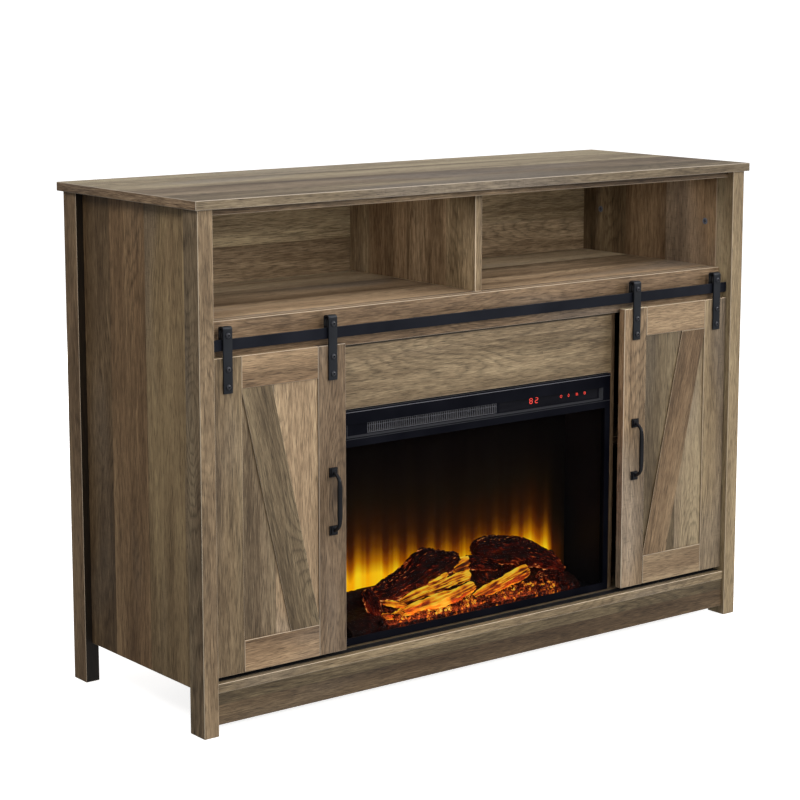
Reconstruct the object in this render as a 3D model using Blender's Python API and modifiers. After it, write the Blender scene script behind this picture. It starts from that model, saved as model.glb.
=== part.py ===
"""Electric fireplace built into a low farmhouse media console with two sliding barn doors.

Units are metres, +Z is up, the front faces -Y and the console stands on Z = 0. Depths are given as a
setback: the distance behind the front faces of the two front posts.
"""

import math

import bmesh
import bpy
from mathutils import Matrix, Vector

MM = 0.001

# Overall size
HEIGHT = 864 * MM
CARCASS_WIDTH = 1205 * MM  # over the four posts
CARCASS_DEPTH = 417 * MM  # front post face to back post face
TOP_THICKNESS = 15 * MM
TOP_OVERHANG_SIDE = 7 * MM
TOP_OVERHANG_FRONT = 7 * MM
TOP_OVERHANG_BACK = 10 * MM

# Stock and fits
BOARD = 15 * MM
BACK_SHEET = 3 * MM
EDGE = 0.8 * MM  # eased edge of every board
GAP = 0.3 * MM  # joint line between two touching pieces

# Carcass
FRONT_POST = (28 * MM, 42 * MM)  # width, depth
BACK_POST = (26 * MM, 41 * MM)
SIDE_BOTTOM = 68.5 * MM
FLOOR_TOP = 85.5 * MM  # upper face of the bottom shelf
FLOOR_SETBACK = 4 * MM
SKIRT_BOTTOM = 17 * MM
SKIRT_SETBACK = 5.5 * MM
HEADER_BOTTOM = 604.5 * MM
HEADER_TOP = 668 * MM  # also the upper face of the open shelf
HEADER_SETBACK = 32 * MM
TOP_RAIL_SETBACK = 13.5 * MM
TOP_RAIL_HEIGHT = 11 * MM
BACK_SHEET_SETBACK = 411.3 * MM
PARTITION_INNER = 309 * MM  # half the opening for the firebox insert
COMPARTMENT_SHELF_Z = 352 * MM
COMPARTMENT_SHELF_SETBACKS = (62 * MM, 366 * MM)
SHELF_END_GAP = 5 * MM
SHELF_PIN = (2.5 * MM, 8 * MM)  # radius, length
SHELF_PIN_INSET = 40 * MM  # from the shelf's front and back edges
CABLE_HOLE_RADIUS = 25 * MM
CABLE_HOLES_X = (-451 * MM, 131 * MM)
CABLE_HOLE_Z = 760 * MM
VENT_WINDOW = (280 * MM, 110 * MM, 560 * MM)  # half width, bottom and top of the opening in the back

# Sliding doors
DOOR_WIDTH = 259 * MM
DOOR_THICKNESS = 15 * MM
DOOR_BOTTOM = 93.5 * MM
DOOR_TOP = 612.5 * MM
DOOR_SETBACK = 10 * MM
DOOR_SIDE_GAP = 2.5 * MM  # between the closed door and its post
STILE_WIDTH = 55 * MM
RAIL_HEIGHT = 53 * MM
PANEL_RECESS = 3 * MM
PANEL_THICKNESS = 6 * MM
BRACE_WIDTH = 57.5 * MM  # measured level, along the rail
BRACE_TOE = 6 * MM  # short upright cut at each pointed end
GUIDE_CLEARANCE = 2.5 * MM  # from the groove's floor to the guide

# Door track, hangers and wheels
TRACK_TOP = 641 * MM
TRACK_HEIGHT = 18 * MM
TRACK_THICKNESS = 4 * MM
TRACK_SETBACK = 12.2 * MM
TRACK_SPACER_RADIUS = 7 * MM
STRAP_WIDTH = 17 * MM
STRAP_THICKNESS = 3 * MM
STRAP_DEPTH = 15 * MM  # over both legs of the hook
STRAP_TOP = 661.8 * MM
STRAP_BOTTOM = 555 * MM
STRAP_BACK_LEG_BOTTOM = 640 * MM
STRAP_BEND_RADIUS = 5 * MM
STRAP_BOLTS_Z = (594 * MM, 565.5 * MM)
BOLT_HEAD_RADIUS = 4.4 * MM
BOLT_HEAD_HEIGHT = 3.2 * MM
AXLE_Z = 648 * MM
AXLE_RADIUS = 2.5 * MM
WHEEL_WIDTH = 8 * MM
WHEEL_FLANGE_RADIUS = 10 * MM
WHEEL_GROOVE_RADIUS = 6.7 * MM
WHEEL_GROOVE_WIDTH = 4.8 * MM
WHEEL_BORE_RADIUS = 2.75 * MM
CHANNEL_SETBACK = 17.5 * MM
CHANNEL_WIDTH = 18 * MM
CHANNEL_DEPTH = 6 * MM
CHANNEL_LIP = 0.5 * MM  # how far the channel stands above the bottom shelf
CHANNEL_SLOT = (23.4 * MM, 30.2 * MM)  # setbacks of the slot's two walls
GUIDE_SIZE = (26 * MM, 3 * MM, 32 * MM)

# Door handles
HANDLE_Z = 352 * MM
HANDLE_FOOT_SPACING = 98 * MM
HANDLE_FOOT = (16 * MM, 5.5 * MM, 16 * MM)
HANDLE_GRIP_RADIUS = 4.5 * MM
HANDLE_PROUD = 24.2 * MM  # front of the grip from the face of the door

# Firebox insert
INSERT_SETBACK = 40 * MM
INSERT_HALF = 308.4 * MM
INSERT_BOTTOM = 87.3 * MM
INSERT_TOP = 492.6 * MM
FRAME_DEPTH = 12 * MM
FRAME_SPLIT_Z = 443.1 * MM  # between the glass frame and the control fascia
FRAME_SIDE = 13 * MM
FRAME_RAIL = 13.1 * MM
GLASS_THICKNESS = 4 * MM
GLASS_LAP = 5 * MM  # how far the frame's lip covers the glass
RECESS_HALF = 284 * MM
RECESS_Z = (447.8 * MM, 467.8 * MM)
RECESS_DEPTH = 5 * MM
RECESS_FLARE = 3.4 * MM  # how much wider the recess is at the fascia's face
FASCIA_WEB = 1.6 * MM  # sheet left behind the recess
FASCIA_WALLS = (6 * MM, 1.5 * MM, 3 * MM)  # side, lower and upper walls round the hollow back
PANEL_OPENING_MARGIN = 1 * MM  # from the recess to the openings for the grille and the strip
INLAY_INSET = 0.2 * MM  # grille and strip behind the recess's floor
GRILLE_X = (-243 * MM, 41 * MM)
GRILLE_SLOTS = 68
GRILLE_SLOT_WIDTH = 2.2 * MM
GRILLE_MARGIN = 3 * MM  # from the plate's ends to the middle of the outermost slots
GRILLE_RAIL = 2 * MM  # plate left above and below the slots
TOUCH_X = (47 * MM, 281 * MM)
CASE_HALF = 300 * MM
CASE_BACK = 250 * MM  # setback of the steel case's rear face
CASE_SHEET = 2 * MM
CASE_Z = (88 * MM, 489 * MM)
DUCT_FLOOR_Z = 443 * MM
LOUVRES = (12, 22 * MM, -108 * MM, 465 * MM)  # count, pitch, middle X and Z of the intake slots
LOUVRE_SIZE = (8 * MM, 12 * MM, 28 * MM)
GLAND_PLACE = (268 * MM, 112 * MM)  # X, Z of the power lead's gland
GLAND_SIZE = (9 * MM, 12 * MM)  # radius, length
PAD_X = 270 * MM
PAD_SETBACKS = (75 * MM, 235 * MM)
PAD_RADIUS = 9 * MM
BEARING_HALF = 8 * MM  # half width of a bearing plate, and its height over the spindle
SCREEN_SETBACK = 150 * MM
SCREEN_THICKNESS = 3 * MM
EMBER_SETBACK = (64 * MM, 146 * MM)
EMBER_HALF = 262 * MM
EMBER_RISER_Z = 148 * MM
ROTOR_AXIS = (186 * MM, 124 * MM)  # setback, height
ROTOR_RADIUS = 18 * MM
ROTOR_HALF = 236 * MM
ROTOR_BLADES = 12
ROTOR_BLADE = (22 * MM, 1 * MM)  # length along the spindle, thickness
ROTOR_BLADE_TURN = 50  # degrees from one blade to the next
ROTOR_MOTOR = (34 * MM, 17 * MM)  # length, radius
SPINDLE_RADIUS = 2.5 * MM
SPINDLE_END = -252 * MM  # both spindles reach this X, inside their bearings
BEARING_X = (-249 * MM, -243 * MM)
BEARING_CLEARANCE = 0.3 * MM
BLOWER_AXIS = (118 * MM, 466 * MM)
BLOWER_RADIUS = 17 * MM
BLOWER_X = (-238 * MM, 22 * MM)
BLOWER_SLATS = 14
BLOWER_SLAT = (1 * MM, 5 * MM)  # thickness, depth
BLOWER_DISC_INSET = 6 * MM
BLOWER_MOTOR = (46 * MM, 19 * MM)  # length, radius
MOTOR_FOOT_INSET = 5 * MM
HEATER_SETBACKS = (64 * MM, 80 * MM)
HEATER_TOP = 485 * MM
HEATER_RIM = 4 * MM
HEATER_WINDOWS = 12
LED_BOARD_HALF = 235 * MM
LED_BOARD_SETBACKS = (157 * MM, 159 * MM)
LED_BOARD_HEIGHT = 22 * MM
LEDS = (12, 36 * MM, 12 * MM)  # count, pitch, height over the board's lower edge
LED_SIZE = (5 * MM, 2.4 * MM, 5 * MM)

# Moulded logs, each from a start (X, setback, Z) to an end, with its two radii
LOGS = (
    ("left_log", (-176, 98, 152), (8, 122, 190), (15, 19)),
    ("right_log", (40, 122, 194), (236, 100, 146), (20, 13)),
    ("cross_log", (-60, 96, 152), (92, 116, 180), (13, 12)),
    ("front_log", (-150, 92, 140), (60, 84, 158), (9, 10)),
    ("stub_log", (30, 86, 150), (190, 88, 140), (10, 8)),
)

# Everything below is worked out from the sizes above
HALF = CARCASS_WIDTH / 2
INNER = HALF - FRONT_POST[0]
TOP_UNDERSIDE = HEIGHT - TOP_THICKNESS
POST_TOP = TOP_UNDERSIDE - GAP
GRIP_SETBACK = DOOR_SETBACK - HANDLE_PROUD
BACK_LIMIT = CARCASS_DEPTH + TOP_OVERHANG_BACK
MID_SETBACK = (GRIP_SETBACK + BACK_LIMIT) / 2
DOOR_OUTER = INNER - DOOR_SIDE_GAP
DOOR_INNER = DOOR_OUTER - DOOR_WIDTH
SIDES = (("left", -1), ("right", 1))


def depth(setback):
    """The Y of a point this far behind the front posts' faces."""
    return setback - MID_SETBACK


# ---------------------------------------------------------------- scene, materials and helpers


def clear_scene():
    for obj in list(bpy.data.objects):
        bpy.data.objects.remove(obj, do_unlink=True)


def collection(name):
    made = bpy.data.collections.new(name)
    bpy.context.scene.collection.children.link(made)
    return made


clear_scene()
PARTS = collection("electric_fireplace")
CUTTERS = collection("cutters")


def material(name, color, roughness, metallic=0.0, alpha=1.0, glow=0.0):
    made = bpy.data.materials.new(name)
    made.use_nodes = True
    shader = made.node_tree.nodes["Principled BSDF"]
    shader.inputs["Base Color"].default_value = (*color, 1.0)
    shader.inputs["Roughness"].default_value = roughness
    shader.inputs["Metallic"].default_value = metallic
    shader.inputs["Alpha"].default_value = alpha
    if glow:
        shader.inputs["Emission Color"].default_value = (*color, 1.0)
        shader.inputs["Emission Strength"].default_value = glow
    made.diffuse_color = (*color, alpha)
    return made


OAK = material("rustic_oak_laminate", (0.235, 0.165, 0.11), 0.55)
BACK_OAK = material("back_sheet_oak", (0.17, 0.125, 0.09), 0.6)
IRON = material("black_powder_coat", (0.018, 0.02, 0.028), 0.42, 0.6)
STEEL = material("case_steel", (0.03, 0.03, 0.032), 0.5, 0.7)
TRIM = material("satin_black_trim", (0.01, 0.011, 0.015), 0.35)
GLOSS = material("gloss_black_strip", (0.004, 0.004, 0.006), 0.08)
GLASS = material("tinted_glass", (0.02, 0.02, 0.02), 0.03, alpha=0.25)
NYLON = material("black_nylon", (0.02, 0.02, 0.02), 0.5)
SCREEN = material("flame_screen_acrylic", (0.35, 0.12, 0.02), 0.4, glow=0.5)
RESIN = material("charred_resin", (0.05, 0.025, 0.015), 0.85)
EMBER = material("ember_resin", (0.45, 0.11, 0.01), 0.6, glow=0.4)
MIRROR = material("reflector_foil", (0.8, 0.8, 0.8), 0.1, 1.0)
BOARD_GREEN = material("circuit_board", (0.02, 0.09, 0.04), 0.5)
ZINC = material("zinc_plated_steel", (0.45, 0.46, 0.48), 0.35, 1.0)
CERAMIC = material("heater_ceramic", (0.35, 0.33, 0.3), 0.7)


def add_object(name, mesh, look, location=(0, 0, 0), rotation=(0, 0, 0)):
    obj = bpy.data.objects.new(name, mesh)
    obj.location = location
    obj.rotation_euler = rotation
    mesh.materials.clear()
    if look:
        mesh.materials.append(look)
    PARTS.objects.link(obj)
    return obj


def box_mesh(name, size, centres=((0, 0, 0),)):
    """One mesh of equal boxes, one at each centre."""
    mesh = bpy.data.meshes.new(name)
    bm = bmesh.new()
    for centre in centres:
        placed = Matrix.Translation(centre) @ Matrix.Diagonal((*size, 1))
        bmesh.ops.create_cube(bm, size=1, matrix=placed)
    bm.to_mesh(mesh)
    bm.free()
    return mesh


def ease_edges(obj, width=EDGE, segments=1):
    bevel = obj.modifiers.new("eased_edges", "BEVEL")
    bevel.width = width
    bevel.segments = segments
    bevel.limit_method = "ANGLE"
    return obj


def box(name, x, setback, z, look, edge=EDGE):
    """A board between two X values, two setbacks and two heights."""
    low = Vector((min(x), depth(min(setback)), min(z)))
    high = Vector((max(x), depth(max(setback)), max(z)))
    obj = add_object(name, box_mesh(name, high - low), look, (low + high) / 2)
    return ease_edges(obj, edge) if edge else obj


def mirrored(sign, near, far):
    """The X range between two distances from the centre, on one side of the console."""
    return (sign * near, sign * far)


def cylinder_mesh(name, radius, length, sides=24, end_radius=None):
    mesh = bpy.data.meshes.new(name)
    bm = bmesh.new()
    far = radius if end_radius is None else end_radius
    bmesh.ops.create_cone(bm, cap_ends=True, segments=sides, radius1=radius, radius2=far, depth=length)
    bm.to_mesh(mesh)
    bm.free()
    return mesh


def shade_round(obj):
    obj.data.shade_smooth()
    obj.data.set_sharp_from_angle(angle=math.radians(35))
    return obj


def cylinder(name, axis, centre, radius, length, look, sides=24):
    """A solid cylinder whose axis is X, Y or Z."""
    turn = {"X": (0, math.pi / 2, 0), "Y": (math.pi / 2, 0, 0), "Z": (0, 0, 0)}[axis]
    return shade_round(add_object(name, cylinder_mesh(name, radius, length, sides), look, centre, turn))


def turned(name, outline, axis_rotation, centre, look, steps=24):
    """A closed outline of (radius, height) points turned about its own axis."""
    mesh = bpy.data.meshes.new(name)
    bm = bmesh.new()
    points = [bm.verts.new((radius, 0, height)) for radius, height in outline]
    edges = [bm.edges.new(pair) for pair in zip(points, points[1:] + points[:1])]
    bmesh.ops.spin(bm, geom=points + edges, cent=(0, 0, 0), axis=(0, 0, 1), angle=2 * math.pi,
                   steps=steps, use_merge=True)
    bmesh.ops.remove_doubles(bm, verts=bm.verts, dist=1e-6)
    bmesh.ops.recalc_face_normals(bm, faces=bm.faces)
    bm.to_mesh(mesh)
    bm.free()
    return shade_round(add_object(name, mesh, look, centre, axis_rotation))


def extruded(name, outline, thickness, look, location, rotation):
    """A flat outline of (x, y) points with a thickness, as a mesh object."""
    curve = bpy.data.curves.new(name, "CURVE")
    curve.dimensions = "2D"
    curve.fill_mode = "BOTH"
    curve.extrude = thickness / 2
    spline = curve.splines.new("POLY")
    spline.points.add(len(outline) - 1)
    for point, (x, y) in zip(spline.points, outline):
        point.co = (x, y, 0, 1)
    spline.use_cyclic_u = True
    return solid_of_curve(add_object(name, curve, look, location, rotation))


def solid_of_curve(obj):
    """A curve object as a closed mesh object of the same name, because a curve takes no Boolean."""
    bpy.context.view_layer.update()
    graph = bpy.context.evaluated_depsgraph_get()
    mesh = bpy.data.meshes.new_from_object(obj.evaluated_get(graph))
    bm = bmesh.new()
    bm.from_mesh(mesh)
    bmesh.ops.remove_doubles(bm, verts=bm.verts, dist=1e-6)
    bmesh.ops.recalc_face_normals(bm, faces=bm.faces)
    bm.to_mesh(mesh)
    bm.free()
    name, placed, look = obj.name, obj.matrix_world.copy(), obj.data.materials[0]
    bpy.data.objects.remove(obj, do_unlink=True)
    made = add_object(name, mesh, look)
    made.matrix_world = placed
    return shade_round(made)


def combine(target, tool, operation):
    """Cuts the tool from the target, or joins it on; the tool becomes a hidden helper."""
    PARTS.objects.unlink(tool)
    CUTTERS.objects.link(tool)
    tool.hide_render = True
    tool.display_type = "WIRE"
    boolean = target.modifiers.new(tool.name, "BOOLEAN")
    boolean.operation = operation
    boolean.solver = "EXACT"
    boolean.object = tool
    return target


def cut(target, tool):
    return combine(target, tool, "DIFFERENCE")


def join(target, tool):
    return combine(target, tool, "UNION")


def carry(pieces, name, origin):
    """Parents the pieces to an empty at the joint's origin, so that they move together."""
    empty = bpy.data.objects.new(name, None)
    empty.location = origin
    empty.empty_display_size = 0.03
    PARTS.objects.link(empty)
    for piece in pieces:
        piece.parent = empty
        piece.matrix_parent_inverse = Matrix.Translation(origin).inverted()
    return empty


# ---------------------------------------------------------------- the wooden carcass


def build_top():
    half = HALF + TOP_OVERHANG_SIDE
    box("top_panel", (-half, half), (-TOP_OVERHANG_FRONT, BACK_LIMIT), (TOP_UNDERSIDE, HEIGHT), OAK)
    rail = (TOP_RAIL_SETBACK, TOP_RAIL_SETBACK + BOARD)
    reach = INNER - GAP
    box("top_front_rail", (-reach, reach), rail, (POST_TOP - TOP_RAIL_HEIGHT, POST_TOP), OAK)


def build_posts_and_sides():
    for side, sign in SIDES:
        front_x = mirrored(sign, HALF - FRONT_POST[0], HALF)
        back_x = mirrored(sign, HALF - BACK_POST[0], HALF)
        box(f"front_{side}_post", front_x, (0, FRONT_POST[1]), (0, POST_TOP), OAK)
        back_y = (CARCASS_DEPTH - BACK_POST[1], CARCASS_DEPTH)
        box(f"back_{side}_post", back_x, back_y, (0, POST_TOP), OAK)
        panel_x = mirrored(sign, INNER, INNER + BOARD)
        panel_y = (FRONT_POST[1] + GAP, back_y[0] - GAP)
        box(f"{side}_side_panel", panel_x, panel_y, (SIDE_BOTTOM, POST_TOP), OAK)


def build_shelves_and_front_boards():
    reach = INNER - GAP
    back = BACK_SHEET_SETBACK - GAP
    header_back = HEADER_SETBACK + BOARD
    header_z = (HEADER_BOTTOM, HEADER_TOP)
    box("header_board", (-reach, reach), (HEADER_SETBACK, header_back), header_z, OAK)
    shelf_z = (HEADER_TOP - BOARD, HEADER_TOP)
    box("upper_shelf", (-reach, reach), (header_back + GAP, back), shelf_z, OAK)
    divider_z = (HEADER_TOP + GAP, POST_TOP)
    box("centre_divider", (-BOARD / 2, BOARD / 2), (header_back + 2 * GAP, back), divider_z, OAK)
    apron_z = (INSERT_TOP + 2 * MM, HEADER_BOTTOM - GAP)
    apron_reach = PARTITION_INNER - GAP
    apron_y = (INSERT_SETBACK, INSERT_SETBACK + BOARD)
    box("insert_apron", (-apron_reach, apron_reach), apron_y, apron_z, OAK)
    skirt_y = (SKIRT_SETBACK, SKIRT_SETBACK + BOARD)
    skirt_z = (SKIRT_BOTTOM, FLOOR_TOP - BOARD - GAP)
    box("front_skirt", (-reach, reach), skirt_y, skirt_z, OAK)


def build_bottom_shelf():
    """The bottom shelf, with the groove that holds the doors' guide channel."""
    reach = INNER - GAP
    shelf_y = (FLOOR_SETBACK, BACK_SHEET_SETBACK - GAP)
    shelf = box("bottom_shelf", (-reach, reach), shelf_y, (FLOOR_TOP - BOARD, FLOOR_TOP), OAK)
    groove_y = (CHANNEL_SETBACK - GAP, CHANNEL_SETBACK + CHANNEL_WIDTH + GAP)
    groove_z = (FLOOR_TOP - CHANNEL_DEPTH - GAP, FLOOR_TOP + BOARD)
    cut(shelf, box("groove", (-HALF, HALF), groove_y, groove_z, None, edge=0))


def build_partitions():
    floor, ceiling = FLOOR_TOP + GAP, HEADER_TOP - BOARD - GAP
    for side, sign in SIDES:
        x = mirrored(sign, PARTITION_INNER, PARTITION_INNER + BOARD)
        y = (HEADER_SETBACK + BOARD + 2 * GAP, BACK_SHEET_SETBACK - GAP)
        box(f"{side}_partition", x, y, (floor, ceiling), OAK)


def build_compartment_shelves():
    """One loose shelf behind each door, with its four rest pins."""
    pin_radius, pin_length = SHELF_PIN
    front, back = COMPARTMENT_SHELF_SETBACKS
    near = PARTITION_INNER + BOARD + SHELF_END_GAP
    far = INNER - SHELF_END_GAP
    for side, sign in SIDES:
        z = (COMPARTMENT_SHELF_Z, COMPARTMENT_SHELF_Z + BOARD)
        shelf = box(f"{side}_compartment_shelf", mirrored(sign, near, far), (front, back), z, OAK)
        for end, edge in (("inner", near), ("outer", far)):
            for place, setback in (("front", front + SHELF_PIN_INSET), ("back", back - SHELF_PIN_INSET)):
                centre = (sign * edge, depth(setback), COMPARTMENT_SHELF_Z + pin_radius - 1 * MM)
                pin = cylinder(f"{side}_{end}_{place}_pin", "X", centre, pin_radius, pin_length, None, 12)
                join(shelf, pin)


def build_back_sheet():
    """One thin sheet over the whole back, open behind the insert and at the two cable holes."""
    reach = HALF - BACK_POST[0] - GAP
    y = (BACK_SHEET_SETBACK, BACK_SHEET_SETBACK + BACK_SHEET)
    bottom = FLOOR_TOP - BOARD
    sheet = box("back_panel", (-reach, reach), y, (bottom, POST_TOP), BACK_OAK, edge=0)
    half, low, high = VENT_WINDOW
    through = (y[0] - BOARD, y[1] + BOARD)
    cut(sheet, box("vent_window", (-half, half), through, (low, high), None, edge=0))
    for number, x in enumerate(CABLE_HOLES_X):
        centre = (x, depth(y[0]), CABLE_HOLE_Z)
        hole = cylinder(f"cable_hole_{number}", "Y", centre, CABLE_HOLE_RADIUS, 4 * BOARD, None, 32)
        cut(sheet, hole)


# ---------------------------------------------------------------- track, guide channel and doors


def build_track():
    """A flat bar from post to post, held off the header by a spacer at the middle and at each end."""
    reach = INNER - GAP
    bar_y = (TRACK_SETBACK, TRACK_SETBACK + TRACK_THICKNESS)
    bar_z = (TRACK_TOP - TRACK_HEIGHT, TRACK_TOP)
    bar = box("door_track", (-reach, reach), bar_y, bar_z, IRON, edge=0.4 * MM)
    spacer_start = bar_y[1] - 1 * MM
    spacer_length = HEADER_SETBACK - GAP - spacer_start
    middle_z = TRACK_TOP - TRACK_HEIGHT / 2
    for name, x in (("left", -reach + 8 * MM), ("middle", 0), ("right", reach - 8 * MM)):
        centre = (x, depth(spacer_start + spacer_length / 2), middle_z)
        spacer = cylinder(f"{name}_spacer", "Y", centre, TRACK_SPACER_RADIUS, spacer_length, None)
        join(bar, spacer)


def build_guide_channel():
    reach = INNER - GAP
    y = (CHANNEL_SETBACK, CHANNEL_SETBACK + CHANNEL_WIDTH)
    z = (FLOOR_TOP - CHANNEL_DEPTH, FLOOR_TOP + CHANNEL_LIP)
    channel = box("floor_guide_channel", (-reach, reach), y, z, NYLON, edge=0)
    slot_z = (z[0] + 1 * MM, z[1] + BOARD)
    cut(channel, box("guide_slot", (-HALF, HALF), CHANNEL_SLOT, slot_z, None, edge=0))


# Rotations that stand an outline up: its X, Y and thickness become Y, Z, X or X, Z, -Y
SIDE_VIEW = (math.pi / 2, 0, math.pi / 2)
FRONT_VIEW = (math.pi / 2, 0, 0)


def strap_outline():
    """The hook-shaped strap seen from the side, as (setback, height) points: out over the top and back."""
    front = DOOR_SETBACK - GAP - STRAP_THICKNESS
    rear = front + STRAP_DEPTH
    outer, inner = STRAP_BEND_RADIUS, STRAP_BEND_RADIUS - STRAP_THICKNESS
    bend_z = STRAP_TOP - outer
    turns = [math.radians(step * 15) for step in range(7)]
    front_bend, rear_bend = front + outer, rear - outer
    points = [(front, STRAP_BOTTOM)]
    points += [(front_bend - outer * math.cos(t), bend_z + outer * math.sin(t)) for t in turns]
    points += [(rear_bend + outer * math.sin(t), bend_z + outer * math.cos(t)) for t in turns]
    points += [(rear, STRAP_BACK_LEG_BOTTOM), (rear - STRAP_THICKNESS, STRAP_BACK_LEG_BOTTOM)]
    points += [(rear_bend + inner * math.cos(t), bend_z + inner * math.sin(t)) for t in turns]
    points += [(front_bend - inner * math.sin(t), bend_z + inner * math.cos(t)) for t in turns]
    points += [(front + STRAP_THICKNESS, STRAP_BOTTOM)]
    return points


def hanger(name, x):
    """A bent strap with its two door bolts and the axle that the wheel turns on."""
    outline = [(depth(setback), height) for setback, height in strap_outline()]
    strap = extruded(name, outline, STRAP_WIDTH, IRON, (x, 0, 0), SIDE_VIEW)
    face = DOOR_SETBACK - GAP - STRAP_THICKNESS
    head_y = depth(face - BOLT_HEAD_HEIGHT / 2 + 0.5 * MM)
    for number, z in enumerate((AXLE_Z, *STRAP_BOLTS_Z)):
        head = cylinder(f"{name}_head_{number}", "Y", (x, head_y, z), BOLT_HEAD_RADIUS,
                        BOLT_HEAD_HEIGHT + 1 * MM, None, 18)
        join(strap, head)
    axle_y = depth(face + STRAP_DEPTH / 2)
    join(strap, cylinder(f"{name}_axle", "Y", (x, axle_y, AXLE_Z), AXLE_RADIUS, STRAP_DEPTH, None, 24))
    return strap


def wheel(name, x):
    """A grooved nylon roller that stands on the track, its axis along Y."""
    half, groove = WHEEL_WIDTH / 2, WHEEL_GROOVE_WIDTH / 2
    rim, bed, bore = WHEEL_FLANGE_RADIUS, WHEEL_GROOVE_RADIUS, WHEEL_BORE_RADIUS
    outline = [
        (rim - 0.6 * MM, half), (rim, half - 0.6 * MM), (bed + 1 * MM, groove), (bed, groove - 0.2 * MM),
        (bed, 0.2 * MM - groove), (bed + 1 * MM, -groove), (rim, 0.6 * MM - half), (rim - 0.6 * MM, -half),
        (bore, -half), (bore, half),
    ]
    centre = (x, depth(TRACK_SETBACK + TRACK_THICKNESS / 2), AXLE_Z)
    return turned(name, outline, (math.pi / 2, 0, 0), centre, NYLON, steps=32)


def handle(name, x):
    """A bow handle: two square feet and a bar that swells into a round grip."""
    foot_z = HANDLE_FOOT_SPACING / 2
    arm = HANDLE_GRIP_RADIUS * 0.62
    grip_out = HANDLE_PROUD - HANDLE_GRIP_RADIUS
    half_path = [
        (3 * MM, foot_z, arm), (10 * MM, foot_z - 2 * MM, arm), (16.5 * MM, foot_z - 9 * MM, arm * 1.05),
        (grip_out - 0.4 * MM, foot_z - 18 * MM, HANDLE_GRIP_RADIUS * 0.9),
        (grip_out, foot_z - 26 * MM, HANDLE_GRIP_RADIUS),
    ]
    path = half_path + [(out, -z, radius) for out, z, radius in reversed(half_path)]
    curve = bpy.data.curves.new(name, "CURVE")
    curve.dimensions = "3D"
    curve.bevel_depth = 1 * MM
    curve.bevel_resolution = 3
    curve.resolution_u = 4
    curve.use_fill_caps = True
    spline = curve.splines.new("BEZIER")
    spline.bezier_points.add(len(path) - 1)
    for point, (out, z, radius) in zip(spline.bezier_points, path):
        point.co = (0, -out, z)
        point.radius = radius / MM
        point.handle_left_type = point.handle_right_type = "AUTO"
    bar = add_object(name, curve, IRON, (x, depth(DOOR_SETBACK), HANDLE_Z))
    bar = solid_of_curve(bar)
    for end, sign in (("upper", 1), ("lower", -1)):
        width, thick, height = HANDLE_FOOT
        foot = box(f"{name}_{end}_foot", (x - width / 2, x + width / 2),
                   (DOOR_SETBACK - GAP - thick, DOOR_SETBACK - GAP),
                   (HANDLE_Z + sign * foot_z - height / 2, HANDLE_Z + sign * foot_z + height / 2), None,
                   edge=2 * MM)
        join(bar, foot)
    return bar


def brace(name, sign, opening_x, opening_z):
    """The diagonal board, from the outer top corner of the frame's opening to its inner bottom corner."""
    inner, outer = opening_x
    low, high = opening_z
    corners = [
        (outer, high), (outer - BRACE_WIDTH, high), (inner, low + BRACE_TOE), (inner, low),
        (inner + BRACE_WIDTH, low), (outer, high - BRACE_TOE),
    ]
    thickness = PANEL_RECESS - GAP
    outline = [(sign * x, z) for x, z in corners]
    place = (0, depth(DOOR_SETBACK + thickness / 2), 0)
    return ease_edges(extruded(name, outline, thickness, OAK, place, FRONT_VIEW), EDGE / 2)


def build_door(side, sign):
    """A framed door with its handle, guide, two hangers and two wheels."""
    y = (DOOR_SETBACK, DOOR_SETBACK + DOOR_THICKNESS)
    full_z = (DOOR_BOTTOM, DOOR_TOP)
    inner_edge, outer_edge = DOOR_INNER + STILE_WIDTH, DOOR_OUTER - STILE_WIDTH
    rail_x = mirrored(sign, inner_edge + GAP, outer_edge - GAP)
    name = f"{side}_door"
    pieces = [
        box(f"{name}_inner_stile", mirrored(sign, DOOR_INNER, inner_edge), y, full_z, OAK),
        box(f"{name}_outer_stile", mirrored(sign, outer_edge, DOOR_OUTER), y, full_z, OAK),
        box(f"{name}_top_rail", rail_x, y, (DOOR_TOP - RAIL_HEIGHT, DOOR_TOP), OAK),
        box(f"{name}_bottom_rail", rail_x, y, (DOOR_BOTTOM, DOOR_BOTTOM + RAIL_HEIGHT), OAK),
    ]
    opening_z = (DOOR_BOTTOM + RAIL_HEIGHT + GAP, DOOR_TOP - RAIL_HEIGHT - GAP)
    panel_y = (DOOR_SETBACK + PANEL_RECESS, DOOR_SETBACK + PANEL_RECESS + PANEL_THICKNESS)
    pieces.append(box(f"{name}_panel", rail_x, panel_y, opening_z, OAK, edge=0))
    pieces.append(brace(f"{name}_brace", sign, (inner_edge + GAP, outer_edge - GAP), opening_z))
    inner_x, outer_x = DOOR_INNER + STILE_WIDTH / 2, DOOR_OUTER - STILE_WIDTH / 2
    pieces.append(handle(f"{name}_handle", sign * inner_x))
    pieces.append(hanger(f"{name}_inner_hanger", sign * inner_x))
    pieces.append(hanger(f"{name}_outer_hanger", sign * outer_x))
    width, thick, height = GUIDE_SIZE
    middle = (DOOR_INNER + DOOR_OUTER) / 2
    guide_y = (y[1] + GAP, y[1] + GAP + thick)
    guide_bottom = FLOOR_TOP - CHANNEL_DEPTH + GUIDE_CLEARANCE
    guide_z = (guide_bottom, guide_bottom + height)
    guide_x = mirrored(sign, middle - width / 2, middle + width / 2)
    pieces.append(box(f"{name}_guide", guide_x, guide_y, guide_z, NYLON, edge=0.5 * MM))
    pieces.append(wheel(f"{name}_inner_wheel", sign * inner_x))
    pieces.append(wheel(f"{name}_outer_wheel", sign * outer_x))
    carry(pieces, f"{name}_carriage", Vector((sign * middle, depth(DOOR_SETBACK), TRACK_TOP)))


# ---------------------------------------------------------------- the firebox insert


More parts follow.
